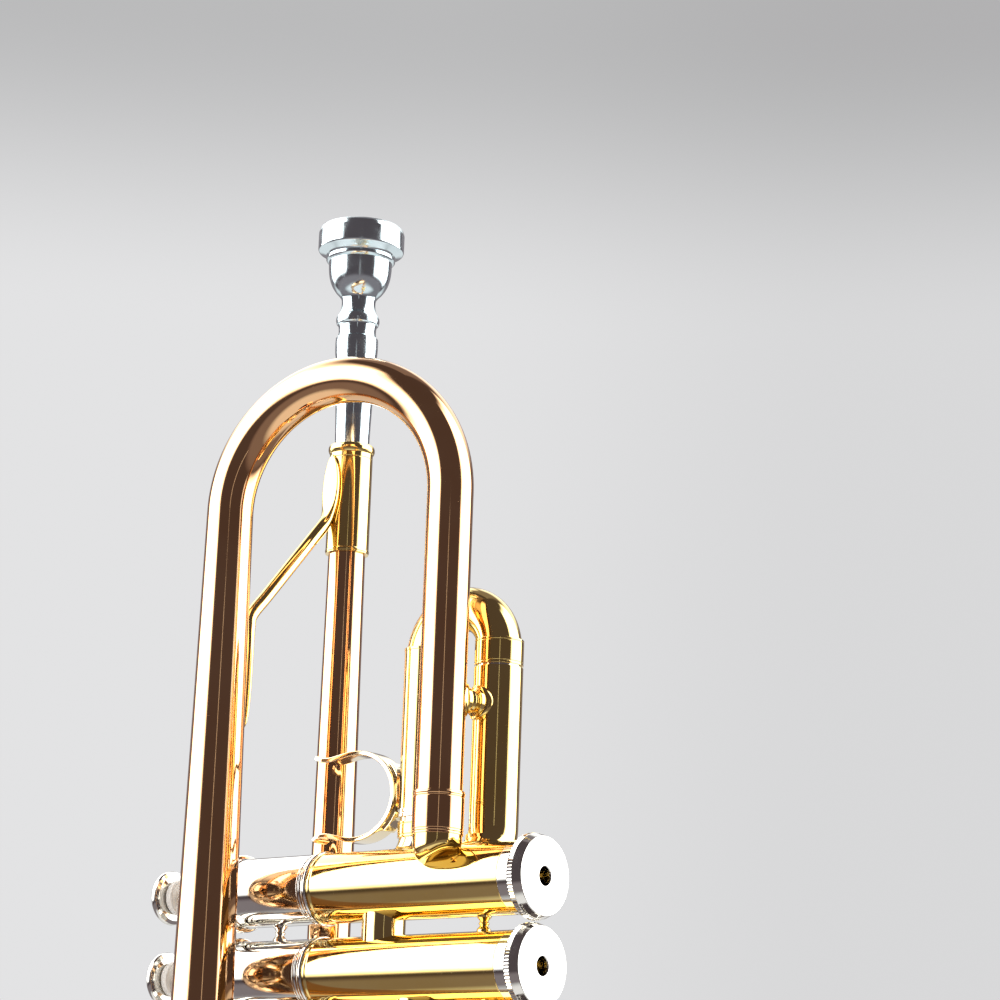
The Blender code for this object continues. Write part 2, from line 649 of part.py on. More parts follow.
def make_third_slide_stop():
    """Stop rod with its nut on the moving slide, and the lug on the fixed tube."""
    y = -SLEEVE_R - 0.0034
    rod_r = 0.0009
    nut_r = 0.0023
    foot = Vector((THIRD_UPPER_X, -SLIDE_FERRULE_R - FIT_GAP, THIRD_TUBE_END_Z - 0.0090))
    start = Vector((THIRD_UPPER_X, y, THIRD_TUBE_END_Z - 0.0070))
    nut = start + AXIS_Z * 0.0420
    path = [foot, foot + Vector((0, -0.0020, 0.0003)), start, nut, nut + AXIS_Z * 0.0001,
            nut + AXIS_Z * 0.0030]
    swept("stop_rod", path, [rod_r] * 4 + [nut_r] * 2, "nickel", sides=ROD_SIDES)
    turned("stop_lug", sleeve_outline(0.0020, 0.0026, rod_r + FIT_GAP),
           Vector((THIRD_UPPER_X, y, THIRD_TUBE_END_Z + 0.0030)), AXIS_Z, "nickel",
           sides=ROD_SIDES)


# ---- Tuning slide -------------------------------------------------------------------
def make_tuning_tubes():
    """Fixed outer tubes, the leadpipe's ferrule and the elbow into the third casing."""
    for name, x in (("tuning_upper_tube", LEADPIPE_X), ("tuning_lower_tube", TUNING_LOWER_X)):
        path = straight(x, LEADPIPE_Y, TUNING_TUBE_BOTTOM_Z, TUNING_TUBE_TOP_Z)
        swept(name, path, [TUNING_SLEEVE_R] * 2, "yellow_brass", bore=[TUNING_BORE_R] * 2)
    for name, x in (("leadpipe_ferrule", LEADPIPE_X), ("tuning_ferrule", TUNING_LOWER_X)):
        start = Vector((x, LEADPIPE_Y, TUNING_TUBE_TOP_Z - 0.0040))
        outline = [(0, TUNING_SLEEVE_R + FIT_GAP), (0, 0.0077), (0.0080, 0.0077),
                   (0.0100, 0.0070), (0.0100, LEADPIPE_BOTTOM_R + FIT_GAP),
                   (0.0042, LEADPIPE_BOTTOM_R + FIT_GAP), (0.0042, TUNING_SLEEVE_R + FIT_GAP)]
        turned(name, outline, start, AXIS_Z, "yellow_brass")
    bend_r = 0.0085
    centre = Vector((TUNING_LOWER_X, LEADPIPE_Y - bend_r, VALVE_Z[2] - bend_r))
    path = [Vector((TUNING_LOWER_X, LEADPIPE_Y, LEADPIPE_BOTTOM_Z))]
    path += arc(centre, AXIS_Y * bend_r, AXIS_Z * bend_r, 0, 80, 5)
    swept("tuning_knuckle", path, [LEADPIPE_BOTTOM_R] * len(path), "yellow_brass",
          bore=[LEADPIPE_BOTTOM_R - WALL] * len(path), trim_end=onto_casing(2))


def make_tuning_slide():
    """Main tuning slide: two inner legs, ferrules and the round bow."""
    radius = (TUNING_LOWER_X - LEADPIPE_X) / 2
    centre = Vector(((TUNING_LOWER_X + LEADPIPE_X) / 2, LEADPIPE_Y, TUNING_CROOK_Z))
    crook = arc(centre, -AXIS_X * radius, -AXIS_Z * radius, 0, 180, CROOK_STEPS + 2)
    seat = TUNING_TUBE_BOTTOM_Z - FIT_GAP
    leg_r = TUNING_BORE_R - RUNNING
    top = TUNING_TUBE_TOP_Z - 0.0100
    path = [Vector((LEADPIPE_X, LEADPIPE_Y, height)) for height in (top, seat + 0.00001, seat)]
    path += crook
    path += [Vector((TUNING_LOWER_X, LEADPIPE_Y, height))
             for height in (seat, seat + 0.00001, top)]
    outer = [leg_r, leg_r, 0.0067] + [leg_r] * len(crook) + [0.0067, leg_r, leg_r]
    swept("tuning_slide_bow", path, outer, "gold_brass", bore=[0.00580] * len(path))
    rod_start = LEADPIPE_X + 0.0067 + FIT_GAP
    rod_end = TUNING_LOWER_X - 0.0067 - FIT_GAP
    length = rod_end - rod_start
    outline = [(0, 0), (0, 0.0032), (0.0012, 0.0032), (0.0030, 0.0016),
               (length - 0.0030, 0.0016), (length - 0.0012, 0.0032), (length, 0.0032),
               (length, 0)]
    turned("tuning_slide_brace", outline, Vector((rod_start, LEADPIPE_Y, seat - 0.0045)),
           AXIS_X, "yellow_brass", sides=ROD_SIDES)


def make_water_key():
    """Water key on the tuning slide's bow: nipple, cork and the pivoted lever."""
    radius = (TUNING_LOWER_X - LEADPIPE_X) / 2
    centre = Vector((LEADPIPE_X + radius, LEADPIPE_Y, TUNING_CROOK_Z))
    turn = math.radians(24)
    outward = AXIS_X * math.cos(turn) - AXIS_Z * math.sin(turn)
    surface = centre + outward * (radius + TUNING_BORE_R - RUNNING + FIT_GAP)
    turned("water_key_nipple", sleeve_outline(0.0020, 0.0024, 0.0011), surface, outward,
           "yellow_brass", sides=12)
    pad = surface + outward * (0.0020 + FIT_GAP)
    pivot = Vector((TUNING_LOWER_X + 0.0113, LEADPIPE_Y, TUNING_CROOK_Z + 0.0050))
    turned("water_key_cork", [(0, 0), (0, 0.0021), (0.0018, 0.0021), (0.0018, 0)], pad,
           outward, "cork", sides=12, pivot=pivot)
    back = pad + outward * (0.0018 + FIT_GAP + 0.0007)
    along = Vector((outward.z, 0, -outward.x))
    lever = [back + along * 0.0022, back - along * 0.0022, pivot - AXIS_Z * 0.0045,
             pivot + AXIS_Z * 0.0040, pivot + Vector((0.0022, 0, 0.0120)),
             pivot + Vector((0.0058, 0, 0.0220))]
    strip("water_key_lever", lever, AXIS_Y, 0.0046, 0.0013, "nickel", pivot=pivot)


# ---- Braces -------------------------------------------------------------------------
def make_post_brace():
    """Turned post between the bell's tail and the first slide's outer tube."""
    start = Vector((BELL_TAIL_X, BELL_TAIL_Y, VALVE_1_Z + POST_HEIGHT))
    end = Vector((FIRST_LOWER_X, FIRST_Y, VALVE_1_Z + POST_HEIGHT))
    direction = (end - start).normalized()
    first = TAIL_TUBE_R + FIT_GAP
    last = (end - start).length - SLEEVE_R - FIT_GAP
    outline = [(first, 0), (first, 0.0040), (first + 0.0008, 0.0040),
               ((first + last) / 2, 0.0026), (last - 0.0008, 0.0040), (last, 0.0040),
               (last, 0)]
    turned("bell_post_brace", outline, start, direction, "yellow_brass", sides=12)


def make_rear_brace():
    """Slanted rod from the receiver down to the bell's stem, with long flat feet."""
    receiver = Vector((LEADPIPE_X, LEADPIPE_Y, 0))
    stem = Vector((BELL_X, BELL_Y, 0))
    towards = (stem - receiver).normalized()
    rod_r = 0.0018
    upper = receiver + towards * (RECEIVER_R + FIT_GAP + rod_r)
    lower_r = bell_radius(VALVE_1_Z + 0.0500)
    lower = stem - towards * (lower_r + FIT_GAP + rod_r)
    heights = [0.1290, 0.1140, 0.1095, 0.0785, 0.0745, 0.0445]
    share = [0.0, 0.0, 0.04, 0.96, 1.0, 1.0]
    path = [upper.lerp(lower, part) + AXIS_Z * (VALVE_1_Z + height)
            for part, height in zip(share, heights)]
    swept("rear_brace", path, [rod_r] * len(path), "gold_brass", sides=ROD_SIDES)


def make_front_brace():
    """Straight brace between the leadpipe and the bell ahead of the valves."""
    height = 0.2450
    leadpipe = Vector((LEADPIPE_X, LEADPIPE_Y, height))
    stem = Vector((BELL_X, BELL_Y, height))
    direction = (stem - leadpipe).normalized()
    first = LEADPIPE_BOTTOM_R + FIT_GAP
    last = (stem - leadpipe).length - bell_radius(height - 0.0040) - FIT_GAP
    outline = [(first, 0), (first, 0.0040), (first + 0.0012, 0.0040),
               (first + 0.0030, 0.0018), (last - 0.0030, 0.0018), (last - 0.0012, 0.0040),
               (last, 0.0040), (last, 0)]
    turned("front_brace", outline, leadpipe, direction, "yellow_brass", sides=ROD_SIDES)


def make_pinky_hook():
    """Hook for the right hand's little finger on the leadpipe."""
    height = 0.2700
    surface = LEADPIPE_X - LEADPIPE_BOTTOM_R - FIT_GAP - 0.0008
    centre = Vector((surface - 0.0100, LEADPIPE_Y, height - 0.0030))
    hook = arc(centre, AXIS_X * 0.0100, -AXIS_Z * 0.0090, 0, 170, 8)
    path = [Vector((surface, LEADPIPE_Y, height + 0.0140))] + hook
    strip("pinky_hook", path, AXIS_Y, 0.0060, 0.0014, "yellow_brass")


# ---- Assembly -----------------------------------------------------------------------
for leftover in list(bpy.data.objects):
    bpy.data.objects.remove(leftover)

make_bell()
make_bell_ferrule()
make_bell_knuckle()
make_leadpipe()
make_receiver()
make_mouthpiece()
for valve in range(3):
    make_casing(valve)
    make_bottom_cap(valve)
    make_top_cap(valve)
    make_piston(valve)
    make_valve_guide(valve)
    make_spring(valve)
    make_button(valve)
make_valve_knuckles()
make_first_slide()
make_thumb_saddle()
make_second_slide()
make_third_slide()
make_finger_ring()
make_third_slide_stop()
make_tuning_tubes()
make_tuning_slide()
make_water_key()
make_post_brace()
make_rear_brace()
make_front_brace()
make_pinky_hook()
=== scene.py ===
"""A B-flat trumpet on its bell rim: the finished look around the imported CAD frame.
"""
import math

import bmesh
import bpy
from mathutils import Matrix, Vector


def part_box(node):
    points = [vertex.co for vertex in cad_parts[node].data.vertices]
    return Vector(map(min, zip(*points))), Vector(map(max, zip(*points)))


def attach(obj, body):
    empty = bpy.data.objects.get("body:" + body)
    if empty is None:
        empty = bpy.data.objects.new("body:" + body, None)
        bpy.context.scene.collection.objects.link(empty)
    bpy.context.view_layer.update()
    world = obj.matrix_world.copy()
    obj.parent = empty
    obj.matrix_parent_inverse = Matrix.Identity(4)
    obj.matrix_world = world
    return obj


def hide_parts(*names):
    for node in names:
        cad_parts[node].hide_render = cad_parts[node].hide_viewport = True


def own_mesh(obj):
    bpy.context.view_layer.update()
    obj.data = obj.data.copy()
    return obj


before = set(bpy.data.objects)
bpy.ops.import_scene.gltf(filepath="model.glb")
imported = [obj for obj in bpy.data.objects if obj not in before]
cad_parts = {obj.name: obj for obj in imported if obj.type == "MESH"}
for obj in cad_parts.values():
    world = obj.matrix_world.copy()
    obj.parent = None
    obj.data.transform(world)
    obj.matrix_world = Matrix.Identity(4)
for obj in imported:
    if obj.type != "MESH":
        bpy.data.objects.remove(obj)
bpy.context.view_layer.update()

MM = 0.001
TAU = 2 * math.pi
X, Y, Z = Vector((1, 0, 0)), Vector((0, 1, 0)), Vector((0, 0, 1))
BODY = "trumpet_body"
BRASS, NICKEL = "yellow_brass", "nickel"


# ---- Places, all taken from the CAD nodes' boxes ----
def box(node):
    """Lowest and highest corner of a CAD node's box."""
    return [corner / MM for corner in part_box(node)]


def low(node):
    """Lowest corner of a CAD node's box."""
    return box(node)[0]


def high(node):
    """Highest corner of a CAD node's box."""
    return box(node)[1]


def middle(node):
    """Centre of a CAD node's box."""
    return (low(node) + high(node)) / 2


def vec(x, y, z):
    """A point or a direction."""
    return Vector((x, y, z))


def on_axis(node, height):
    """The point of a node's vertical axis at a height."""
    return vec(*middle(node).xy, height)


CASING_TOP_X = 50           # from the valves' zero plane up to the casing's top end
CASING_BEAD_X = -16.4       # from the zero plane up to the casing's middle bead
CASING_R, CASING_BORE_R = 9.77, 8.6
VALVES = [middle(f"valve_casing_{number}") for number in (1, 2, 3)]
ZERO = vec(low("valve_casing_1").x + CASING_TOP_X, VALVES[0].y, VALVES[0].z)
WALL = 0.55


def at(x, y, z):
    """A point placed from the first valve's axis and the valves' zero plane."""
    return ZERO + vec(x, y, z)


# ---- Materials ----
class Nodes:
    """A node tree with a short call for each kind of node; inputs are values or outputs."""

    def __init__(self, owner):
        owner.use_nodes = True
        self.tree = owner.node_tree

    def feed(self, target, inputs):
        """Set or link the inputs of one node."""
        for socket, value in inputs.items():
            if isinstance(value, bpy.types.NodeSocket):
                self.tree.links.new(value, target.inputs[socket])
            else:
                target.inputs[socket].default_value = value

    def add(self, kind, inputs, **settings):
        """A new node with its settings and inputs."""
        made = self.tree.nodes.new("ShaderNode" + kind)
        for key, value in settings.items():
            setattr(made, key, value)
        self.feed(made, inputs)
        return made

    def stretched(self, source, scale, turn=(0, 0, 0)):
        """Coordinates scaled, and turned, for a grain that runs one way."""
        return self.add("Mapping", {"Rotation": turn, "Scale": scale, "Vector": source}).outputs[0]

    def noise(self, vector, scale, detail=3.0, rough=0.5, distortion=0.0):
        """A noise value over the given coordinates."""
        return self.add("TexNoise", {"Scale": scale, "Detail": detail, "Roughness": rough,
                                     "Distortion": distortion, "Vector": vector}).outputs["Fac"]

    def band(self, value, start, end, first=0.0, last=1.0, **settings):
        """A value rescaled from start..end to first..last, and clamped."""
        return self.add("MapRange", {"From Min": start, "From Max": end, "To Min": first,
                                     "To Max": last, "Value": value}, **settings).outputs["Result"]

    def smooth(self, value, start, end, first=0.0, last=1.0):
        """A value eased from first to last between start and end."""
        return self.band(value, start, end, first, last, interpolation_type="SMOOTHSTEP")

    def window(self, value, start, end, soft):
        """One between start and end, nought outside, with soft edges."""
        return self.times(self.smooth(value, start - soft, start + soft),
                          self.smooth(value, end - soft, end + soft, 1.0, 0.0))

    def maths(self, operation, *sides):
        """One arithmetic step on numbers or outputs."""
        return self.add("Math", dict(enumerate(sides)), operation=operation).outputs["Value"]

    def times(self, first, second):
        """A product."""
        return self.maths("MULTIPLY", first, second)

    def plus(self, first, second):
        """A sum."""
        return self.maths("ADD", first, second)

    def larger(self, first, second):
        """The larger of two."""
        return self.maths("MAXIMUM", first, second)

    def blend(self, factor, first, second):
        """A colour between two, each of them a tuple or an output."""
        first, second = ((*side, 1.0) if isinstance(side, tuple) else side for side in (first, second))
        return self.add("Mix", {0: factor, 6: first, 7: second}, data_type="RGBA").outputs[2]

    def bump(self, height, distance, **normal):
        """A bump of that height in metres, over another Normal if one is given."""
        return self.add("Bump", {"Strength": 1.0, "Distance": distance, "Height": height,
                                 **normal}).outputs["Normal"]


def new_material(name):
    """A material, its nodes, its Principled shader and its object coordinates."""
    material = bpy.data.materials.new(name)
    n = Nodes(material)
    return material, n, n.tree.nodes["Principled BSDF"], n.add("TexCoord", {}).outputs["Object"]


def metal(name, pale, deep, worn, rough, coat=0.0, turned_lines=0.0):
    """Polished metal: drifting tint, cloudy polish, hairlines, rubbed spots and specks."""
    material, n, shader, place = new_material(name)
    tint = n.blend(n.band(n.noise(place, 38.0, 4.0, 0.55, 0.4), 0.34, 0.66), deep, pale)
    cloud = n.noise(place, 210.0, 5.0, 0.62, 0.8)
    rubbed = n.band(n.noise(place, 92.0, 6.0, 0.7, 1.2), 0.60, 0.74)
    tint = n.blend(n.times(rubbed, 0.30), tint, worn)
    cells = n.add("TexVoronoi", {"Scale": 780.0, "Randomness": 1.0, "Vector": place})
    speck = n.times(n.band(cells.outputs["Distance"], 0.05, 0.09, 1.0, 0.0),
                    n.band(n.noise(place, 260.0, 2.0), 0.56, 0.60))
    tint = n.blend(n.times(speck, 0.55), tint, tuple(part * 0.35 for part in worn))

    def scratches(scale, turn, start, end):
        return n.band(n.noise(n.stretched(place, scale, turn), 1.0, 2.0), start, end)

    hairline = n.larger(scratches((2600, 2600, 42), (0, 0, 0), 0.66, 0.74), n.larger(
        scratches((2100, 60, 2100), (0.5, 0.9, 0.3), 0.69, 0.76),
        scratches((55, 1900, 1900), (0.2, 0.4, 0.8), 0.70, 0.77)))
    dull = n.band(cloud, 0.30, 0.72, rough * 0.55, rough * 1.7)
    for mark, amount in ((hairline, rough * 0.9), (rubbed, rough * 0.8), (speck, 0.30)):
        dull = n.plus(dull, n.times(mark, amount))
    relief = n.bump(n.noise(place, 130.0, 2.0), 0.0000065)
    relief = n.bump(hairline, 0.0000004, Normal=relief)
    relief = n.bump(speck, 0.000004, Normal=relief)
    if turned_lines:
        x, y, z = n.add("SeparateXYZ", {"Vector": place}).outputs
        radius = n.maths("SQRT", n.plus(n.times(x, x), n.times(y, y)))
        joined = n.add("CombineXYZ", {"X": radius, "Y": z}).outputs[0]
        relief = n.bump(n.noise(joined, 5200.0, 2.0), turned_lines, Normal=relief)
    n.feed(shader, {"Base Color": tint, "Roughness": dull, "Normal": relief, "Metallic": 1.0,
                    "Coat Weight": coat, "Coat Roughness": 0.03})
    return material


def pearl_material():
    """Mother of pearl: folded bands of cream, rose and green under a clear gloss."""
    material, n, shader, place = new_material("pearl_inlay")
    folds = n.add("TexWave", {"Scale": 190.0, "Distortion": 9.0, "Detail": 3.0, "Detail Scale": 1.6,
                              "Vector": place}).outputs["Fac"]
    ramp = n.add("ValToRGB", {"Fac": folds})
    bands = ramp.color_ramp.elements
    bands[0].color = (0.86, 0.83, 0.76, 1)
    bands[1].color = (0.93, 0.91, 0.88, 1)
    for position, colour in ((0.3, (0.88, 0.78, 0.76, 1)), (0.55, (0.78, 0.86, 0.80, 1)),
                             (0.75, (0.80, 0.82, 0.90, 1))):
        bands.new(position).color = colour
    cloud = n.noise(place, 420.0, 4.0)
    tint = n.blend(n.band(cloud, 0.4, 0.7, 0.0, 0.5), ramp.outputs["Color"], (0.95, 0.93, 0.90))
    n.feed(shader, {"Base Color": tint, "Roughness": n.band(cloud, 0.3, 0.7, 0.12, 0.26),
                    "Normal": n.bump(folds, 0.00001), "Coat Weight": 0.6, "Coat Roughness": 0.06})
    return material


def fibre_material(name, dark, pale, scale, height, rough=0.9, sheen=0.0):
    """Felt, cork or moulded plastic: mottled in two colours with a fine relief."""
    material, n, shader, place = new_material(name)
    mottle = n.noise(place, scale, 6.0, 0.7, 0.6)
    threads = n.noise(n.stretched(place, (1.0, 3.2, 1.7), (0.4, 0.7, 0.2)), scale * 2.2, 4.0, 0.6, 1.5)
    mixed = n.times(n.plus(mottle, threads), 0.5)
    n.feed(shader, {"Base Color": n.blend(n.band(mixed, 0.36, 0.64), dark, pale),
                    "Roughness": n.band(threads, 0.3, 0.7, rough * 0.85, min(rough * 1.1, 1.0)),
                    "Normal": n.bump(mixed, height), "Sheen Weight": sheen})
    return material


LOOKS = {
    "gold_brass": metal("gold_brass_lacquer", (0.88, 0.535, 0.275), (0.81, 0.455, 0.215),
                        (0.70, 0.40, 0.22), 0.055, coat=0.25),
    BRASS: metal("yellow_brass_lacquer", (0.93, 0.71, 0.28), (0.88, 0.63, 0.20),
                 (0.72, 0.50, 0.22), 0.060, coat=0.25),
    NICKEL: metal("nickel_silver_polish", (0.84, 0.82, 0.765), (0.76, 0.735, 0.67),
                  (0.62, 0.58, 0.50), 0.070, turned_lines=0.0000003),
    # Thumb saddle look: nickel silver whose warm pale brass base colour is partly its own tone and partly
    # painted reflection of the brass around it
    "nickel_painted_brass_reflection": metal("nickel_silver_painted_brass_reflection", (0.94, 0.83, 0.60), (0.89, 0.76, 0.51),
                        (0.72, 0.58, 0.38), 0.070, coat=0.2),
    "silver": metal("silver_plate", (0.83, 0.945, 0.965), (0.74, 0.87, 0.90),
                    (0.66, 0.72, 0.72), 0.125, turned_lines=0.0000008),
    "steel": metal("spring_steel", (0.62, 0.62, 0.63), (0.50, 0.50, 0.52), (0.36, 0.32, 0.28), 0.22),
    "pearl": pearl_material(),
    "nylon": fibre_material("nylon_guide", (0.70, 0.69, 0.63), (0.84, 0.83, 0.78), 900,
                            0.000004, 0.42),
    "cork": fibre_material("cork_pad", (0.30, 0.17, 0.09), (0.66, 0.45, 0.27), 1500, 0.00009, 0.88),
    "felt": fibre_material("felt_washer", (0.50, 0.47, 0.42), (0.80, 0.78, 0.72), 2400,
                           0.00012, 0.95, sheen=0.4),
}
SLOT_OF = {look: look for look in LOOKS if look != "felt"}
# the saddle is nickel silver underneath; its pale brass tint is partly painted reflection of the nearby
# brass
SLOT_OF["nickel_painted_brass_reflection"] = NICKEL


# ---- Mesh building ----
SHARP_ANGLE = 38.0          # degrees between faces, above which their edge stays sharp
STRAIGHT_ANGLE = 14.0       # degrees below which a corner of an outline is left as it is
SHORTEST_EDGE = 0.02        # an outline's shorter edges get no eased corner
EASE_SHARE = 0.28           # the most of an edge that an eased corner takes
FILLET = 0.9                # height and width of a solder fillet


def shade(mesh, sharp=SHARP_ANGLE):
    """Smooth faces with sharp edges above an angle in degrees."""
    mesh.shade_smooth()
    mesh.set_sharp_from_angle(angle=math.radians(sharp))


def finish(name, data, look, body=BODY, nodes=(), place=None, sharp=SHARP_ANGLE):
    """Turn a bmesh into a piece in metres that rides on a body and stands for CAD nodes."""
    bmesh.ops.recalc_face_normals(data, faces=data.faces)
    place = place or Matrix.Identity(4)
    data.transform(Matrix.Scale(MM, 4) @ place.inverted())
    place.translation *= MM
    mesh = bpy.data.meshes.new(name)
    data.to_mesh(mesh)
    data.free()
    shade(mesh, sharp)
    mesh.materials.append(LOOKS[look])
    piece = bpy.data.objects.new(name, mesh)
    piece.matrix_world = place
    bpy.context.scene.collection.objects.link(piece)
    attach(piece, body)
    if nodes:
        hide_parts(*nodes)
    return piece


def bezier(first, corner, last, share):
    """A point of the curve from first to last that bends towards corner."""
    return first * (1 - share) ** 2 + corner * 2 * share * (1 - share) + last * share ** 2


def between(a, b, c, d, share):
    """A point of the smooth curve (Catmull-Rom) from b to c, with a before and d after."""
    return 0.5 * (b * 2 + (c - a) * share + (a * 2 - b * 5 + c * 4 - d) * share ** 2
                  + (b * 3 - a - c * 3 + d) * share ** 3)


def side_vector(direction):
    """A unit vector across direction, the same for every piece along one axis."""
    reference = X if abs(direction.x) < 0.7 else Y
    return (reference - direction * reference.dot(direction)).normalized()


def loop(data, sides, spot):
    """A ring of vertices, one at spot(turn) for each turn."""
    return [data.verts.new(spot(TAU * side / sides)) for side in range(sides)]


def ring(data, centre, across, direction, radius, sides, reach=None):
    """A round ring; radius may be a function of the turn, and reach moves each vertex."""
    up = direction.cross(across)

    def spot(turn):
        size = radius(turn) if callable(radius) else radius
        point = centre + (across * math.cos(turn) + up * math.sin(turn)) * size
        return reach(point) if reach else point

    return loop(data, sides, spot)


def skin(data, first, second):
    """Faces between two rings, either of which may be a single pole vertex."""
    count = max(len(first), len(second))
    for side in range(count):
        after = (side + 1) % count
        corners = [first[side % len(first)], first[after % len(first)],
                   second[after % len(second)], second[side % len(second)]]
        data.faces.new(list(dict.fromkeys(corners)))


def join_rings(data, rings, closed=True):
    """Skin a list of rings in order, and back to the first one if closed."""
    for first, second in zip(rings, rings[1:] + rings[:1] * closed):
        if len(first) > 1 or len(second) > 1:
            skin(data, first, second)


def rounded(outline, amount):
    """A closed outline with its corners eased and a support point beside each of them."""
    result = []
    for index, pair in enumerate(outline):
        here = Vector(pair)
        back = Vector(outline[index - 1]) - here
        ahead = Vector(outline[(index + 1) % len(outline)]) - here
        if (here.y == 0 or min(back.length, ahead.length) < SHORTEST_EDGE
                or math.degrees(math.pi - back.angle(ahead)) < STRAIGHT_ANGLE):
            result.append(here)
            continue
        reach = min(amount, back.length * EASE_SHARE, ahead.length * EASE_SHARE)
        back = back.normalized() * reach
        ahead = ahead.normalized() * reach
        result.append(here + back * 1.6)
        result += [bezier(here + back, here, here + ahead, share) for share in (0, 0.33, 0.67, 1.0)]
        result.append(here + ahead * 1.6)
    return [tuple(point) for point in result]


def shifted(start, *pairs):
    """An outline whose distances are counted from start."""
    return [(start + along, radius) for along, radius in pairs]


def mirrored(half, length, *centre):
    """An outline whose second half is its first half backwards."""
    return [*half, *centre, *((length - along, radius) for along, radius in half[::-1])]


def marked(length, radius, bore, marks=()):
    """Outline of a sleeve with beads (height above 0) and engraved lines (below 0)."""
    outline = [(0, bore), (0, radius)]
    for position, height, half in marks:
        outline += [(position + half * share, radius + height * rise) for share, rise in
                    ((-1, 0), (-0.62, 0.72), (0, 1), (0.62, 0.72), (1, 0))]
    return outline + [(length, radius), (length, bore)]


def turned(name, outline, start, direction, look=BRASS, body=BODY, nodes=(), sides=72, ease=0.15,
           knurl=None):
    """A closed outline of (distance along, radius) turned about direction.

    knurl is (from, to, teeth, depth, radius): rings between those distances, and at least
    that wide, carry fine teeth.
    """
    direction = direction.normalized()
    data = bmesh.new()
    rings = []
    for along, radius in rounded(outline, ease):
        centre = start + direction * along
        size = radius
        if knurl and knurl[0] <= along <= knurl[1] and radius >= knurl[4]:
            def size(turn, full=radius):
                return full - knurl[3] * abs((turn * knurl[2] / TAU) % 1.0 - 0.5) * 2
        rings.append(ring(data, centre, side_vector(direction), direction, size, sides)
                     if radius > 0 else [data.verts.new(centre)])
    join_rings(data, rings)
    place = Matrix.Translation(start) @ direction.to_track_quat("Z", "Y").to_matrix().to_4x4()
    return finish(name, data, look, body, nodes, place)


def directions_along(path):
    """The unit direction of a path at each of its points."""
    return [(after - before).normalized()
            for before, after in zip(path[:1] + path[:-1], path[1:] + path[-1:])]


def frames_along(path, across=None):
    """(direction, across) at each point of a path, turned as little as possible."""
    frames = []
    for direction in directions_along(path):
        across = across or side_vector(direction)
        across = (across - direction * across.dot(direction)).normalized()
        frames.append((direction, across))
    return frames


def tube(name, path, outer, bore, look=BRASS, body=BODY, nodes=(), sides=48, lip=0.16,
         start_on=None, end_on=None):
    """A tube with eased mouths along path; an end may run out onto another surface."""
    last = len(path) - 1
    data = bmesh.new()

    def wall(radii, ease):
        rings = []
        radii = radii if isinstance(radii, list) else [radii] * len(path)
        for index, (direction, side) in enumerate(frames_along(path)):
            trim = {0: start_on, last: end_on}.get(index)
            inward = direction if index == 0 else -direction
            steps = [(0, 0)]
            if index in (0, last) and not trim:
                steps = [(0, ease), (0.3, ease * 0.3), (1, 0), (2.2, 0)][::-1 if index else 1]
            rings += [ring(data, path[index] + inward * lip * along, side, direction,
                           radii[index] - less, sides, trim and (lambda spot: trim(spot, -inward)))
                      for along, less in steps]
        return rings

    outside = wall(outer, lip)
    join_rings(data, outside + wall(bore, -lip)[::-1])
    return finish(name, data, look, body, nodes)


def onto(point, axis, radius):
    """A trim that runs each vertex on along its direction to a round wall."""
    def trim(spot, direction):
        gap = spot - point
        gap = gap - axis * gap.dot(axis)
        flat = direction - axis * direction.dot(axis)
        halfway = gap.dot(flat) / flat.length_squared
        inside = halfway * halfway - (gap.length_squared - radius * radius) / flat.length_squared
        return spot + direction * (-halfway - math.sqrt(max(inside, 0.0)))
    return trim


def onto_casing(valve):
    """A trim onto one valve casing's round wall."""
    return onto(VALVES[valve], X, CASING_R - 0.06)


def collar(name, centre, direction, surface, profile, nodes=(), across=None, stretch=1.0):
    """A closed profile of (radius, height off the surface) laid round a joint.

    stretch widens it along its across vector, for an oval flange.
    """
    across = across or side_vector(direction)
    up = direction.cross(across)
    data = bmesh.new()
    join_rings(data, [loop(data, 72, lambda turn: surface(
        centre + (across * math.cos(turn) * stretch + up * math.sin(turn)) * radius, direction)
        - direction * height) for radius, height in profile])
    finish(name, data, BRASS, nodes=nodes)


def soldered(name, path, outer, bore, valve, nodes, look=BRASS, solder=None):
    """A tube that ends on a casing in a concave solder fillet."""
    tube(name, path, outer, bore, look, nodes=nodes, sides=72, end_on=onto_casing(valve))
    sunk = 0.3
    profile = [(outer - sunk, FILLET), (outer, FILLET)]
    for turn in (math.pi / 12 * step for step in range(1, 6)):
        profile.append((outer + FILLET * (1 - math.cos(turn)), FILLET * (1 - math.sin(turn))))
    profile += [(outer + FILLET, 0.02), (outer + FILLET * 1.05, -sunk / 2), (outer - sunk, -sunk / 2)]
    collar(solder or f"{name}_solder", path[-1], directions_along(path)[-1], onto_casing(valve), profile)


def flange_profile(radius, thick):
    """A thin round plate with an eased rim, bedded just into the surface."""
    ease = thick * 0.45
    return [(radius, -0.1), (radius, thick - ease), (radius - ease * 0.3, thick - ease * 0.3),
            (radius - ease, thick), (radius - ease * 2, thick), (0.02, thick), (0.02, -0.1)]


def curve_through(points, steps):
    """A smooth curve through points."""
    ends = [points[0] * 2 - points[1], *points, points[-1] * 2 - points[-2]]
    return [between(*ends[index:index + 4], step / steps)
            for index in range(len(points) - 1) for step in range(steps)] + [points[-1]]


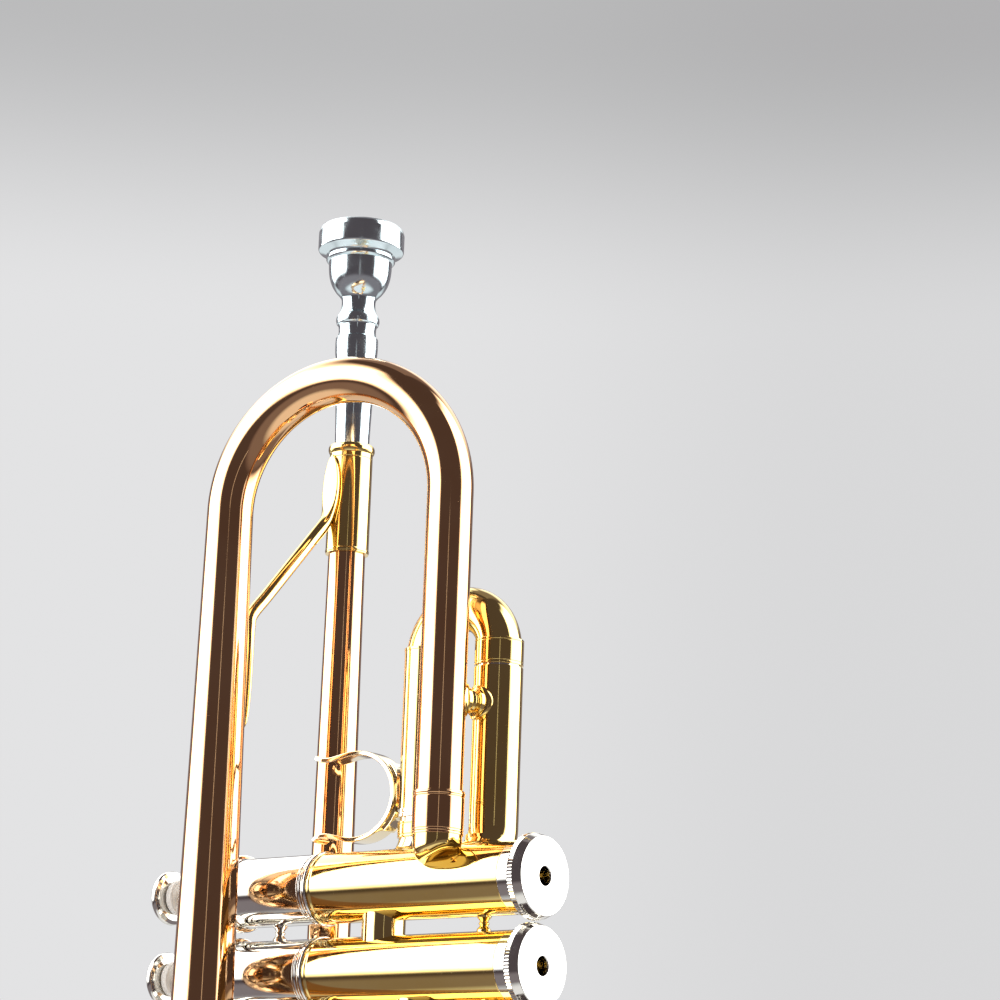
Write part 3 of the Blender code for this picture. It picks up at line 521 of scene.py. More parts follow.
def bar(name, points, sizes, side_axis, look=BRASS, body=BODY, nodes=(), steps=6, sides=28):
    """A bar bent through points; sizes holds (width, thickness, squareness) for each.

    squareness runs from 1, an oval, towards 0, a flat strip with crisp corners.
    """
    end_share, end_rise, tip_rise = 0.86, 0.2, 0.26
    path = curve_through(points, steps)
    headings = directions_along(path)
    data = bmesh.new()
    rings = []
    shape = curve_through([Vector(size) for size in sizes], steps)
    for point, direction, (width, thickness, power) in zip(path, headings, shape):
        side = (side_axis - direction * side_axis.dot(direction)).normalized()
        normal = direction.cross(side)

        def spot(turn):
            wide, deep = (math.copysign(abs(part) ** power, part) for part in (
                math.cos(turn + math.pi / sides), math.sin(turn + math.pi / sides)))
            return point + side * (wide * width / 2) + normal * (deep * thickness / 2)

        rings.append(loop(data, sides, spot))
    for index, inward in ((0, headings[0]), (-1, -headings[-1])):
        centre = sum((vertex.co for vertex in rings[index]), Vector()) / sides
        eased = [data.verts.new(centre + (vertex.co - centre) * end_share - inward * end_rise)
                 for vertex in rings[index]]
        skin(data, rings[index], eased)
        skin(data, eased, [data.verts.new(centre - inward * tip_rise)])
    join_rings(data, rings, closed=False)
    finish(name, data, look, body, nodes)


def line(start, end, steps=6):
    """Evenly spaced points from start to end, both included."""
    return [start.lerp(end, step / steps) for step in range(steps + 1)]


def arc(centre, first, second, start, end, steps):
    """Points about centre, at angles from the vector first towards the vector second."""
    turns = (math.radians(start + (end - start) * step / steps) for step in range(steps + 1))
    return [centre + first * math.cos(turn) + second * math.sin(turn) for turn in turns]


def carve(piece, cutter):
    """Cut one piece's shape out of another, and drop the cutter."""
    boolean = piece.modifiers.new("cut", "BOOLEAN")
    boolean.operation = "DIFFERENCE"
    boolean.solver = "EXACT"
    boolean.object = cutter
    bpy.context.view_layer.update()
    shaped = piece.evaluated_get(bpy.context.evaluated_depsgraph_get())
    mesh = bpy.data.meshes.new_from_object(shaped)
    piece.modifiers.clear()
    piece.data = mesh
    shade(mesh)
    bpy.data.objects.remove(cutter)


# ---- Bell ----
RIM_R = 61.5
STEM = vec(low("bell").x + RIM_R, low("bell").y + RIM_R, 0)
TAIL = on_axis("bell_ferrule", 0)
TAIL_R = 6.4


def bell_radius(height):
    """Outer radius of the bell's stem and flare, a horn curve plus a slow taper."""
    return 57.1 * (15 / (height + 15)) ** 0.75 + 4.4 - 0.005 * height


def make_bell():
    """Rolled rim, flare, stem, bow and tail in one thin sheet."""
    wall, bead, sides = 0.6, 1.4, 128
    flare_z = 280
    reach = (STEM - TAIL) / 2
    bow_z = high("bell").z - reach.length - 0.5 * (bell_radius(460) + TAIL_R)
    tail_end = low("bell_ferrule").z + 4.5
    heights = [3 * 1.105 ** step for step in range(46)]
    heights = [height for height in heights if height < flare_z]
    heights += [flare_z + (bow_z - flare_z) * step / 10 for step in range(11)]
    path = [STEM + Z * height for height in heights]
    outer = [bell_radius(height) for height in heights]
    path += arc((STEM + TAIL) / 2 + Z * bow_z, reach, Z * reach.length, 0, 180, 64)[1:]
    outer += [bell_radius(bow_z) * (1 - step / 64) + TAIL_R * step / 64 for step in range(1, 65)]
    path += [TAIL + Z * (bow_z + (tail_end - bow_z) * step / 8) for step in range(1, 9)]
    outer += [TAIL_R] * 8
    data = bmesh.new()
    frames = frames_along(path, reach.normalized())
    rings = []
    for turn in map(math.radians, range(-225, 71, 20)):
        rings.append(ring(data, STEM + Z * bead * (1 + math.sin(turn)), frames[0][1], Z,
                          RIM_R - bead + bead * math.cos(turn), sides))
    sheet = list(zip(path, frames, outer))
    rings += [ring(data, point, side, direction, radius, sides)
              for point, (direction, side), radius in sheet]
    rings += [ring(data, point, side, direction, radius - wall, sides)
              for point, (direction, side), radius in sheet[::-1]]
    join_rings(data, rings)
    finish("bell_sheet", data, "gold_brass", nodes=["bell"], sharp=60)


def make_bell_ferrule():
    """Sleeve on the bell's tail with a bead at its top and lines at both ends."""
    start = on_axis("bell_ferrule", low("bell_ferrule").z)
    length = high("bell_ferrule").z - start.z
    marks = [(0.6, -0.12, 0.22), (1.3, -0.1, 0.18), (length - 1.6, -0.12, 0.2),
             (length - 0.7, 0.16, 0.4)]
    turned("tail_ferrule", marked(length, 7, TAIL_R + 0.03, marks), start, Z, "gold_brass",
           nodes=["bell_ferrule"], sides=96)


KNUCKLE_SEAT = [  # turn about the tail; where it meets the casing, along and round; bend height
    (0, 33.9, 36, 7.1), (38, 35, 34, 7.9), (90, 31.3, 24, 9.2), (140, 27, 38, 8), (180, 25.2, 56, 7.2),
    (210, 25.1, 64, 6.2), (235, 25.6, 66, 5), (262, 27.2, 58, 4.6), (290, 29, 48, 5.2),
    (318, 30.9, 39, 6.4), (340, 32.4, 36.5, 6.9)]


def make_bell_knuckle():
    """Short elbow under the ferrule, rolled in onto the first casing's shoulder."""
    radius, wall = 6.68, 0.7
    seat_r = CASING_R - 0.25
    turns = [row[0] for row in KNUCKLE_SEAT] + [360]
    rows = [Vector(row[1:]) for row in KNUCKLE_SEAT]
    top = low("bell_ferrule").z + 2

    def wall_point(turn, inset, share):
        degrees = math.degrees(turn)
        index = max(k for k in range(len(rows)) if turns[k] <= degrees + 1e-9)
        part = (degrees - turns[index]) / (turns[index + 1] - turns[index])
        along, around, bend = between(*(rows[(index + step) % len(rows)] for step in (-1, 0, 1, 2)), part)
        side = TAIL + vec(math.cos(turn), math.sin(turn), 0) * (radius - inset)
        if share is None:
            return vec(side.x, side.y, top)
        around = math.radians(around)
        foot = at(along, -(seat_r - inset) * math.sin(around), (seat_r - inset) * math.cos(around))
        return bezier(vec(side.x, side.y, ZERO.z + bend + 3.2),
                      vec(side.x, side.y, ZERO.z + bend - 0.9 + inset), foot, share)

    def layer(inset):
        return [loop(data, 128, lambda turn: wall_point(turn, inset, share))
                for share in [None] + [step / 19 for step in range(20)]]

    data = bmesh.new()
    join_rings(data, layer(0) + layer(wall)[::-1])
    finish("tail_knuckle", data, BRASS, nodes=["bell_knuckle"], sharp=70)


# ---- Leadpipe and mouthpiece ----
LEAD = on_axis("leadpipe", 0)
RECEIVER_R = 6.35


def make_leadpipe():
    """Slightly tapered pipe from the receiver to the tuning slide's upper tube."""
    bottom, top = low("leadpipe").z, high("leadpipe").z
    path = line(LEAD + Z * top, LEAD + Z * bottom, 16)
    mouth_r, middle_r, end_r = 5.4, 6.14, 6.2
    outer = [mouth_r + (middle_r - mouth_r) * min((top - point.z) / (top - ZERO.z), 1.0)
             + (end_r - middle_r) * max(0, (ZERO.z - point.z) / (ZERO.z - bottom)) for point in path]
    tube("leadpipe_tube", path, outer, [radius - WALL for radius in outer], "gold_brass",
         nodes=["leadpipe"], sides=72)


def make_receiver():
    """Mouthpiece receiver: a stepped mouth, an engraved line and a bead at its lower end."""
    bottom, top = low("mouthpiece_receiver").z, high("mouthpiece_receiver").z
    length = top - bottom
    bore = 5.45
    outline = [(0, 5.3)] + marked(length, RECEIVER_R, bore, [(0.8, 0.12, 0.45),
                                                             (length - 4.2, -0.1, 0.18)])[1:-2]
    outline += shifted(length, (-2.7, RECEIVER_R), (-2.3, RECEIVER_R + 0.3), (-1.7, RECEIVER_R + 0.52),
                       (-0.9, RECEIVER_R + 0.52), (-0.3, RECEIVER_R + 0.3), (0, RECEIVER_R), (0, bore))
    turned("receiver_sleeve", outline, LEAD + Z * bottom, Z,
           nodes=["mouthpiece_receiver"], sides=96)


SHANK = [(-44, 5.95), (-40, 6.3), (-36.8, 6.4), (-35.2, 6.32)]  # distances are from the rim's top
NECK = [(-34.9, 5.8), (-33.4, 5.6), (-31.8, 5.66), (-31, 5.9)]
CUP_SIDE = [(-30.7, 6.26), (-29.6, 6.52), (-28.4, 6.32), (-27.2, 5.6), (-25.6, 5.16), (-23.8, 5.06),
            (-22.6, 5.28), (-21.6, 6), (-20.3, 7.18), (-18.4, 8.34), (-16.2, 9.08), (-13.8, 9.42),
            (-11.2, 9.52)]
RIM = [(-11, 10), (-10.5, 10.4), (-9.9, 10.4), (-9.5, 9.95), (-8.9, 10.35), (-8.3, 11.3),
       (-7.9, 12.35), (-7.7, 12.75), (-7.2, 12.95), (-2.2, 12.95), (-1, 12.62), (-0.3, 11.9),
       (0, 10.7), (-0.2, 9.5), (-1.1, 8.7)]
CUP = [(-1.6, 8.5), (-4.5, 7.9), (-8, 6.7), (-11, 4.8), (-13, 2.6), (-14, 1.9)]


def make_mouthpiece():
    """Turned mouthpiece: rim, hollow under it, cup, neck, bead, step and shank."""
    bottom, top = low("mouthpiece").z, high("mouthpiece").z
    total = top - bottom

    def curved(pairs, *first):
        points = [Vector(pair) for pair in [*first, *shifted(total, *pairs)]]
        return [tuple(point) for point in curve_through(points, 4)]

    outline = curved(SHANK, (0, 4.75), (24.5, 5.1)) + curved(NECK) + curved(CUP_SIDE)
    outline += shifted(total, *RIM) + curved(CUP) + [(total - 18, 1.9), (0, 4.1)]
    turned("mouthpiece_cup", outline, LEAD + Z * bottom, Z, "silver", "mouthpiece",
           ["mouthpiece"], 112, 0.12)


# ---- Valves ----
KNURL_TEETH = 78
THREAD_R = 9.4


def valve_axis(index):
    """The valves' zero point on one valve's axis."""
    return vec(ZERO.x, VALVES[index].y, VALVES[index].z)


def make_casing(number, axis):
    """Lacquered lower casing and the nickel silver balance above the joint's bead."""
    cap_x = low(f"bottom_cap_{number}").x - ZERO.x - 0.3
    end_x = high(f"valve_casing_{number}").x - ZERO.x
    ring_x = cap_x - 4
    top_x = -46.5
    wide = CASING_R + 0.3
    lower = shifted(CASING_BEAD_X, (0.9, CASING_BORE_R), (0.9, CASING_R + 0.2), (1.6, CASING_R + 0.2),
                    (2.2, CASING_R)) + [(ring_x - 0.1, CASING_R), (ring_x - 0.1, CASING_BORE_R)]
    foot = [(ring_x, CASING_BORE_R), (ring_x, CASING_R + 0.1), (cap_x, CASING_R + 0.1),
            (cap_x, THREAD_R), (end_x, THREAD_R), (end_x, CASING_BORE_R)]
    upper = shifted(CASING_BEAD_X, (0.8, CASING_BORE_R), (0.8, 10.1), (0.4, 10.4), (-0.4, 10.4),
                    (-0.9, 10.1), (-1, CASING_R), (-1.8, CASING_R), (-2, CASING_R + 0.16),
                    (-2.6, CASING_R + 0.16), (-2.8, CASING_R))
    upper += [(top_x + 1.6, CASING_R), (top_x + 1.3, wide), (top_x, wide), (top_x, THREAD_R),
              (-CASING_TOP_X, THREAD_R), (-CASING_TOP_X, CASING_BORE_R)]
    turned(f"casing_lower_{number}", lower, axis, X, nodes=[f"valve_casing_{number}"], sides=96)
    turned(f"casing_foot_{number}", foot, axis, X, NICKEL, sides=96)
    turned(f"casing_upper_{number}", upper, axis, X, NICKEL, sides=96)


def make_bottom_cap(number, axis):
    """Bottom cap: knurled ring, smooth band, and a wide bright face with its vent."""
    lowest, highest = box(f"bottom_cap_{number}")
    length = highest.x - lowest.x
    cap_r = (highest.y - lowest.y) / 2
    vent_r = 2.5
    outline = [(0, 9.7), (0, cap_r - 0.3), (0.2, cap_r), (0.8, cap_r), (1.4, cap_r), (1.8, cap_r),
               (1.9, cap_r - 0.12)]
    outline += shifted(length, (-0.3, cap_r - 0.9), (-0.1, cap_r - 1.1), (-0.05, 7), (0, 4),
                       (0, vent_r + 0.2), (-0.3, vent_r), (-1.3, vent_r), (-1.3, 6), (-1.2, 9.7))
    turned(f"bottom_valve_cap_{number}", outline, vec(lowest.x, *axis.yz), X, NICKEL,
           nodes=[f"bottom_cap_{number}"], sides=KNURL_TEETH * 4, ease=0.1,
           knurl=(0.2, 1.85, KNURL_TEETH, 0.24, cap_r - 0.05))


def make_top_cap(number, axis):
    """Knurled top cap with a rolled crown, and the felt ring let into it."""
    start = axis - X * 46.8
    length = start.x - low(f"top_cap_{number}").x
    cap_r = 10.95
    outline = [(0, 9.7), (0, cap_r - 0.3), (0.2, cap_r), (1.1, cap_r), (2.1, cap_r), (3, cap_r),
               (3.3, cap_r - 0.5), (3.7, cap_r - 0.5), (3.9, cap_r - 0.2), (4.9, cap_r - 0.2),
               (6, cap_r - 1.2)]
    outline += shifted(length, (-0.4, 7.9), (0, 7), (0, 5.1), (-0.8, 4.7), (-0.8, 2.4), (-2.6, 2.4),
                       (-2.6, 9.7))
    turned(f"top_valve_cap_{number}", outline, start, -X, NICKEL, nodes=[f"top_cap_{number}"],
           sides=KNURL_TEETH * 4, ease=0.1, knurl=(0.2, 3.1, KNURL_TEETH, 0.22, cap_r - 0.05))
    felt = shifted(length, (-0.7, 2.4), (-0.7, 4.6), (-0.1, 4.5), (0.1, 3.8), (0, 3), (-0.3, 2.4))
    turned(f"top_cap_felt_{number}", felt, start, -X, "felt", sides=48, ease=0.1)


def make_piston(number, axis):
    """Piston with a slotted spring barrel, hollow for the spring, and its stem."""
    shoulder_x, top_x, foot_x = -13.5, -49, 37.5
    stem_x = low(f"finger_button_{number}").x - ZERO.x + 3.2
    piston_r, barrel_r, room_r, stem_r = CASING_BORE_R - 0.05, 7.9, 7, 2.1
    outline = [(foot_x, 0), (foot_x, piston_r - 0.3), (foot_x - 0.3, piston_r), (shoulder_x, piston_r),
               (shoulder_x, barrel_r), (top_x, barrel_r), (top_x, stem_r), (stem_x, stem_r), (stem_x, 0)]
    piston = turned(f"piston_body_{number}", outline, axis, X, NICKEL, f"valve_{number}",
                    [f"piston_{number}"], 64, 0.1)
    room = [(-47.8, 0), (-47.8, room_r), (-14.3, room_r), (-14.3, 0)]
    carve(piston, turned(f"barrel_room_{number}", room, axis, X, NICKEL, sides=48))
    slot_start, slot_end = -37, -14.7
    data = bmesh.new()
    bmesh.ops.create_cube(data, size=1.0)
    bmesh.ops.scale(data, vec=(slot_end - slot_start, 20, 3.4), verts=data.verts)
    bmesh.ops.translate(data, vec=axis + X * (slot_start + slot_end) / 2, verts=data.verts)
    carve(piston, finish(f"barrel_slot_{number}", data, NICKEL))


def make_spring(number, axis):
    """Coil spring with closed ends, on a mesh of its own."""
    lowest, highest = box(f"valve_spring_{number}")
    wire = 0.4
    coil_r = (highest.y - lowest.y) / 2 - wire
    turns, steps = 9, 216
    length = highest.x - lowest.x
    path = []
    for share in (step / steps for step in range(steps + 1)):
        turn = TAU * turns * share
        along = wire + (length - 2 * wire) * (share - 0.11 * math.sin(TAU * share))
        path.append(vec(highest.x - along, axis.y + coil_r * math.cos(turn),
                        axis.z + coil_r * math.sin(turn)))
    spring = tube(f"spring_coil_{number}", path, wire, 0.02, "steel",
                  nodes=[f"valve_spring_{number}"], sides=10, lip=0.05)
    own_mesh(spring)


def make_button(number, axis):
    """Dished finger button, its pearl, and the felt bumper under it."""
    body = f"valve_{number}"
    start = vec(low(f"finger_button_{number}").x, *axis.yz)
    top_r = 7.8
    outline = [(3.2, 0), (3.2, 3), (2.9, 4), (2.4, 6.6), (1.9, 7.6), (1.3, top_r), (0.6, top_r),
               (0.1, 7.5), (0, 7), (0.4, 6.6), (1.2, 6.6), (1.2, 0)]
    pearl = [(0.9, 0), (0.9, 6.3), (0.3, 6.3), (0, 6), (-0.3, 5), (-0.1, 3), (0, 0)]
    felt = mirrored([(3.3, 2.2), (3.3, 4.8), (3.7, 5.2)], 9.2)
    turned(f"button_{number}", outline, start, X, NICKEL, body, [f"finger_button_{number}"], 72, 0.1)
    turned(f"button_pearl_{number}", pearl, start, X, "pearl", body, [f"pearl_{number}"], 64, 0.1)
    turned(f"button_felt_{number}", felt, start, X, "felt", body, sides=48, ease=0.3)


def make_casing_joints():
    """Crossing tubes and short posts between neighbouring casings."""
    post = mirrored([(0, 0), (0, 2.1), (0.8, 1.9), (1.8, 1.1)], 4.8, (2.4, 1.5))
    for first, second, x in ((0, 1, 5), (1, 2, 18)):
        pair = f"{first + 1}{second + 1}"
        centre = (VALVES[first] + VALVES[second]) / 2
        centre.x = ZERO.x
        path = [centre + vec(x, 0, rise) for rise in (1, 0, -1)]
        tube(f"casing_knuckle_{pair}", path, 6, 5.4, nodes=[f"knuckle_{pair}"],
             start_on=onto_casing(first), end_on=onto_casing(second))
        for label, post_x, look in (("upper", -33, NICKEL), ("lower", 40, BRASS)):
            turned(f"casing_post_{label}_{pair}", post, centre + vec(post_x, 0, 2.4), -Z, look,
                   sides=32, ease=0.1)


# ---- Valve slides ----
SLEEVE_R, SLEEVE_BORE_R = 6.75, 6.2
INNER_R = 6.15
CROOK_R, CROOK_BORE_R = 6.2, 5.65
LABELS = ("upper", "lower")


def make_ferrule(name, start, direction, length, radius, body, bore=CROOK_R - 0.1, marks=None):
    """A short slide ferrule with a line near each end."""
    marks = marks or [(0.7, -0.1, 0.2), (length - 0.7, -0.1, 0.2)]
    turned(name, marked(length, radius, bore, marks), start, direction, body=body)


def make_end_ring(name, start, direction, length, body=BODY):
    """A nickel silver ring with a line round it, at the mouth of a sleeve."""
    turned(name, marked(length, SLEEVE_R + 0.3, SLEEVE_R - 0.1, [(length / 2, -0.1, 0.2)]), start,
           direction, NICKEL, body)


def make_leg(name, start, end, steps, body, radius=INNER_R, bore=CROOK_BORE_R):
    """The inner tube of a slide, which stays in its sleeve."""
    tube(name, line(start, end, steps), radius, bore, NICKEL, body, sides=64)


def make_cross_brace(name, start, end, body=BODY, nodes=()):
    """A small turned post with a flange at each end and a ring in its middle."""
    flange = 3.4
    length = (end - start).length
    half = [(0, 0), (0, flange), (0.6, flange), (1.1, 2.2), (2.2, 1.4), (length / 2 - 1.1, 1.3),
            (length / 2 - 0.5, 2)]
    turned(name, mirrored(half, length), start, end - start, body=body, nodes=nodes, sides=48, ease=0.1)


FIRST_Y = at(0, 6.5, 0).y
FIRST_UPPER = vec(middle("first_slide_inner_tube").x, FIRST_Y, ZERO.z)
FIRST_LOWER = vec(middle("first_slide_outer_tube").x, FIRST_Y, ZERO.z)


def make_first_slide():
    """Fixed tubes with their feet, and the moving bow with sleeve, crook and leg."""
    body = "first_slide"
    foot, bend_r = 15, 12
    top = high("first_slide_outer_tube").z - ZERO.z
    for label, axis, outer, bore, look in (("inner", FIRST_UPPER, INNER_R, 5.8, NICKEL),
                                           ("outer", FIRST_LOWER, SLEEVE_R, SLEEVE_BORE_R, BRASS)):
        path = line(axis + Z * top, axis + Z * foot)
        path += arc(path[-1] - Y * bend_r, Y * bend_r, -Z * bend_r, 4, 30, 6)
        soldered(f"first_slide_fixed_{label}", path, outer, bore, 0, [f"first_slide_{label}_tube"], look)
    collar("first_slide_foot_flange", FIRST_LOWER + vec(0, -1, foot), -Z, onto_casing(0),
           [(6, 0.2), (SLEEVE_R + 0.1, 2.8), (SLEEVE_R + 0.2, 1.6), (SLEEVE_R + 0.7, 0.8),
            (SLEEVE_R + 2.2, 0.4), (SLEEVE_R + 2.4, 0.1), (SLEEVE_R + 2.2, -0.3), (6, -0.3)])
    make_ferrule("first_slide_foot_ring", FIRST_UPPER + Z * 13.2, Z, 4.4, 6.8, BODY,
                 INNER_R + 0.02)
    mouth, crook = FIRST_UPPER + Z * 18.8, Z * 64
    radius = (FIRST_LOWER.x - FIRST_UPPER.x) / 2
    sleeve = line(mouth, FIRST_UPPER + crook + Z * 1.6, 8)
    tube("first_slide_sleeve", sleeve, SLEEVE_R, SLEEVE_BORE_R, body=body, sides=72)
    make_end_ring("first_slide_sleeve_ring", mouth, Z, 2.2, body)
    turned("first_slide_sleeve_lip", marked(0.9, SLEEVE_R + 0.12, CROOK_R - 0.02),
           sleeve[-1] - Z * 0.2, Z, body=body)
    tube("first_slide_crook", arc(FIRST_UPPER + crook + X * radius, -X * radius,
                                  Z * radius, 0, 180, 36),
         CROOK_R, CROOK_BORE_R, body=body, nodes=["first_slide_bow"], sides=72)
    make_ferrule("first_slide_ferrule", FIRST_LOWER + Z * 59.3, Z, 7.2, SLEEVE_R, body)
    make_leg("first_slide_leg", FIRST_LOWER + Z * 59.5, FIRST_LOWER + Z * 20, 4, body)


def make_thumb_saddle():
    """Sprung U for the thumb, the strip that doubles its back, and a solder plate."""
    body = "first_slide"
    lowest, highest = box("thumb_saddle")
    thick, reach = 1.4, 13.7
    half = (highest.z - lowest.z - thick) / 2
    hub = middle("thumb_saddle")
    hub.x = highest.x - reach - thick / 2 + 0.2
    upper = [(-15.7, 0.2), (-13.8, 0.9), (-10.4, 1.2), (-6.8, 0.7), (-3.2, 0.1)]
    lower = [(-3.2, 0.2), (-6.8, 1), (-10.4, 1.6), (-13.4, 1.5), (-15.2, 0.6)]
    points = [hub + vec(x, 0, half - drop) for x, drop in upper]
    points += arc(hub, X * reach, Z * half, 90, -90, 12)
    points += [hub + vec(x, 0, drop - half) for x, drop in lower]
    sizes = [((5.6, 6.2, 6.4)[min(index, len(points) - 1 - index, 2)], thick, 0.25)
             for index in range(len(points))]
    # the saddle's pale brass tint on nickel silver is partly painted reflection of the brass around it
    bar("thumb_saddle_ribbon", points, sizes, Y, "nickel_painted_brass_reflection", body, ["thumb_saddle"], 4, 36)
    gap = thick / 2 + 0.4
    strip = arc(hub + Y * 0.6, X * (reach + gap), Z * (half + gap), -48, 40, 10)
    bar("thumb_saddle_doubling", strip, [(4.6, 0.9, 0.2)] * len(strip), Y, "nickel_painted_brass_reflection", body,
        steps=3, sides=32)
    rows, spans, tall = 17, 13, 15
    data = bmesh.new()

    def edge_loop(share, radius):
        widest = 46 * math.sqrt(max(1 - abs(share) ** 2.4, 0.04))
        turns = (math.radians(190 + widest * (span / (spans - 1) * 2 - 1)) for span in range(spans))
        return [data.verts.new(vec(FIRST_UPPER.x + radius * math.cos(turn),
                                   FIRST_Y + radius * math.sin(turn), hub.z + share * tall / 2))
                for turn in turns]

    rings = []
    for share in (row / (rows - 1) * 2 - 1 for row in range(rows)):
        rings.append(edge_loop(share, SLEEVE_R - 0.1) + edge_loop(share, SLEEVE_R + 0.9)[::-1])
    join_rings(data, rings, closed=False)
    for end in (rings[0], rings[-1]):
        for span in range(spans - 1):
            data.faces.new((end[span], end[span + 1], end[-2 - span], end[-1 - span]))
    finish("thumb_saddle_plate", data, "nickel_painted_brass_reflection", body)


def make_second_slide():
    """Outer tubes with rings, and the short bow with its pull knob."""
    body = "second_slide"
    z = VALVES[1].z
    casing_y = VALVES[1].y + CASING_R
    tube_end_y = high("second_slide_upper_tube").y
    xs = [middle(f"second_slide_{label}_tube").x for label in LABELS]
    for label, x in zip(LABELS, xs):
        soldered(f"second_slide_{label}_sleeve", line(vec(x, tube_end_y, z), vec(x, casing_y + 2, z), 5),
                 SLEEVE_R, SLEEVE_BORE_R, 1, [f"second_slide_{label}_tube"],
                 solder=f"second_slide_{label}_solder")
        make_end_ring(f"second_slide_{label}_ring", vec(x, tube_end_y - 2.6, z), Y, 2.4)
    radius = (xs[1] - xs[0]) / 2
    centre = vec(xs[0] + radius, tube_end_y + 5, z)
    tube("second_slide_crook", arc(centre, -X * radius, Y * radius, 0, 180, 28),
         CROOK_R, CROOK_BORE_R, body=body, nodes=["second_slide_bow"], sides=72)
    for label, x in zip(LABELS, xs):
        start = vec(x, tube_end_y + 0.3, z)
        make_ferrule(f"second_slide_{label}_ferrule", start, Y, 5.6, 6.68, body,
                     marks=[(0.8, -0.1, 0.2), (4.8, -0.1, 0.2)])
        make_leg(f"second_slide_{label}_leg", start + Y * 0.2, vec(x, casing_y + 4.5, z), 4, body)
    start = centre + Y * (radius + CROOK_R - 0.3)
    length = high("second_slide_knob").y - start.y
    outline = [(0, 0), (0, 3), (0.6, 2.6), (1.2, 1.8), (3, 1.5)]
    outline += shifted(length, (-3.4, 1.5), (-2.9, 3), (-2.4, 3.6), (-1.2, 3.6), (-0.4, 2.8), (0, 1.2),
                       (0, 0))
    turned("second_slide_pull", outline, start, Y, NICKEL, body, ["second_slide_knob"], 48)


THIRD_END_Z = low("third_slide_upper_tube").z
THIRD_XS = [middle(f"third_slide_{label}_tube").x for label in LABELS]


def make_third_slide():
    """Outer tubes, end rings and brace, and the long bow with its ferrules."""
    body = "third_slide"
    y = VALVES[2].y
    top = VALVES[2].z - CASING_R
    axes = [(label, vec(x, y, 0)) for label, x in zip(LABELS, THIRD_XS)]
    for label, axis in axes:
        soldered(f"third_slide_{label}_sleeve",
                 line(axis + Z * THIRD_END_Z, axis + Z * (top - 2), 8),
                 SLEEVE_R, SLEEVE_BORE_R, 2, [f"third_slide_{label}_tube"],
                 solder=f"third_slide_{label}_solder")
        make_end_ring(f"third_slide_{label}_ring", axis + Z * (THIRD_END_Z + 0.1), Z, 2.6)
    brace_z = THIRD_END_Z + 30
    make_cross_brace("third_slide_brace", vec(THIRD_XS[0] + SLEEVE_R, y, brace_z),
                     vec(THIRD_XS[1] - SLEEVE_R, y, brace_z))
    radius = (THIRD_XS[1] - THIRD_XS[0]) / 2
    crook_z = low("third_slide_bow").z + radius + CROOK_R
    crook = arc(vec(THIRD_XS[0] + radius, y, crook_z), -X * radius, -Z * radius, 0, 180, 40)
    lift = Z * 59
    path = line(crook[0] + lift, crook[0], 8)[:-1] + crook + line(crook[-1], crook[-1] + lift, 8)[1:]
    tube("third_slide_crook", path, CROOK_R, CROOK_BORE_R, body=body, nodes=["third_slide_bow"],
         sides=72)
    for label, axis in axes:
        make_ferrule(f"third_slide_{label}_ferrule", axis + Z * (THIRD_END_Z - 8), Z, 7.7,
                     6.7, body)
        make_ferrule(f"third_slide_{label}_band", axis + Z * (crook_z - 1), Z, 6, 6.6, body)
        make_leg(f"third_slide_{label}_leg", axis + Z * (THIRD_END_Z - 0.4),
                 axis + Z * (top - 8), 5, body)


def make_finger_ring():
    """Finger ring of oval wire on a soldered foot that tapers at both ends."""
    body = "third_slide"
    lowest, highest = box("finger_ring")
    centre = middle("finger_ring")
    wire = 1.5
    ring_r = (highest.x - lowest.x) / 2 - wire
    data = bmesh.new()
    rings = []
    for turn in (TAU * step / 72 for step in range(72)):
        outward = X * math.cos(turn) + Z * math.sin(turn)
        rings.append(loop(data, 24, lambda angle: centre + outward * (
            ring_r + wire * 0.85 * math.cos(angle)) + Y * wire * 1.25 * math.sin(angle)))
    join_rings(data, rings)
    finish("finger_ring_loop", data, NICKEL, body, ["finger_ring"])
    foot = vec(THIRD_XS[0] - 7.1, centre.y, centre.z)
    shares = [1 - abs(step / 4 - 1) for step in range(9)]
    bar("finger_ring_foot", line(foot - Z * 10.5, foot + Z * 10.5, 8),
        [(2.2 + 3 * share ** 0.6, 0.8 + 0.9 * share, 0.5) for share in shares], Y, NICKEL, body,
        steps=3)


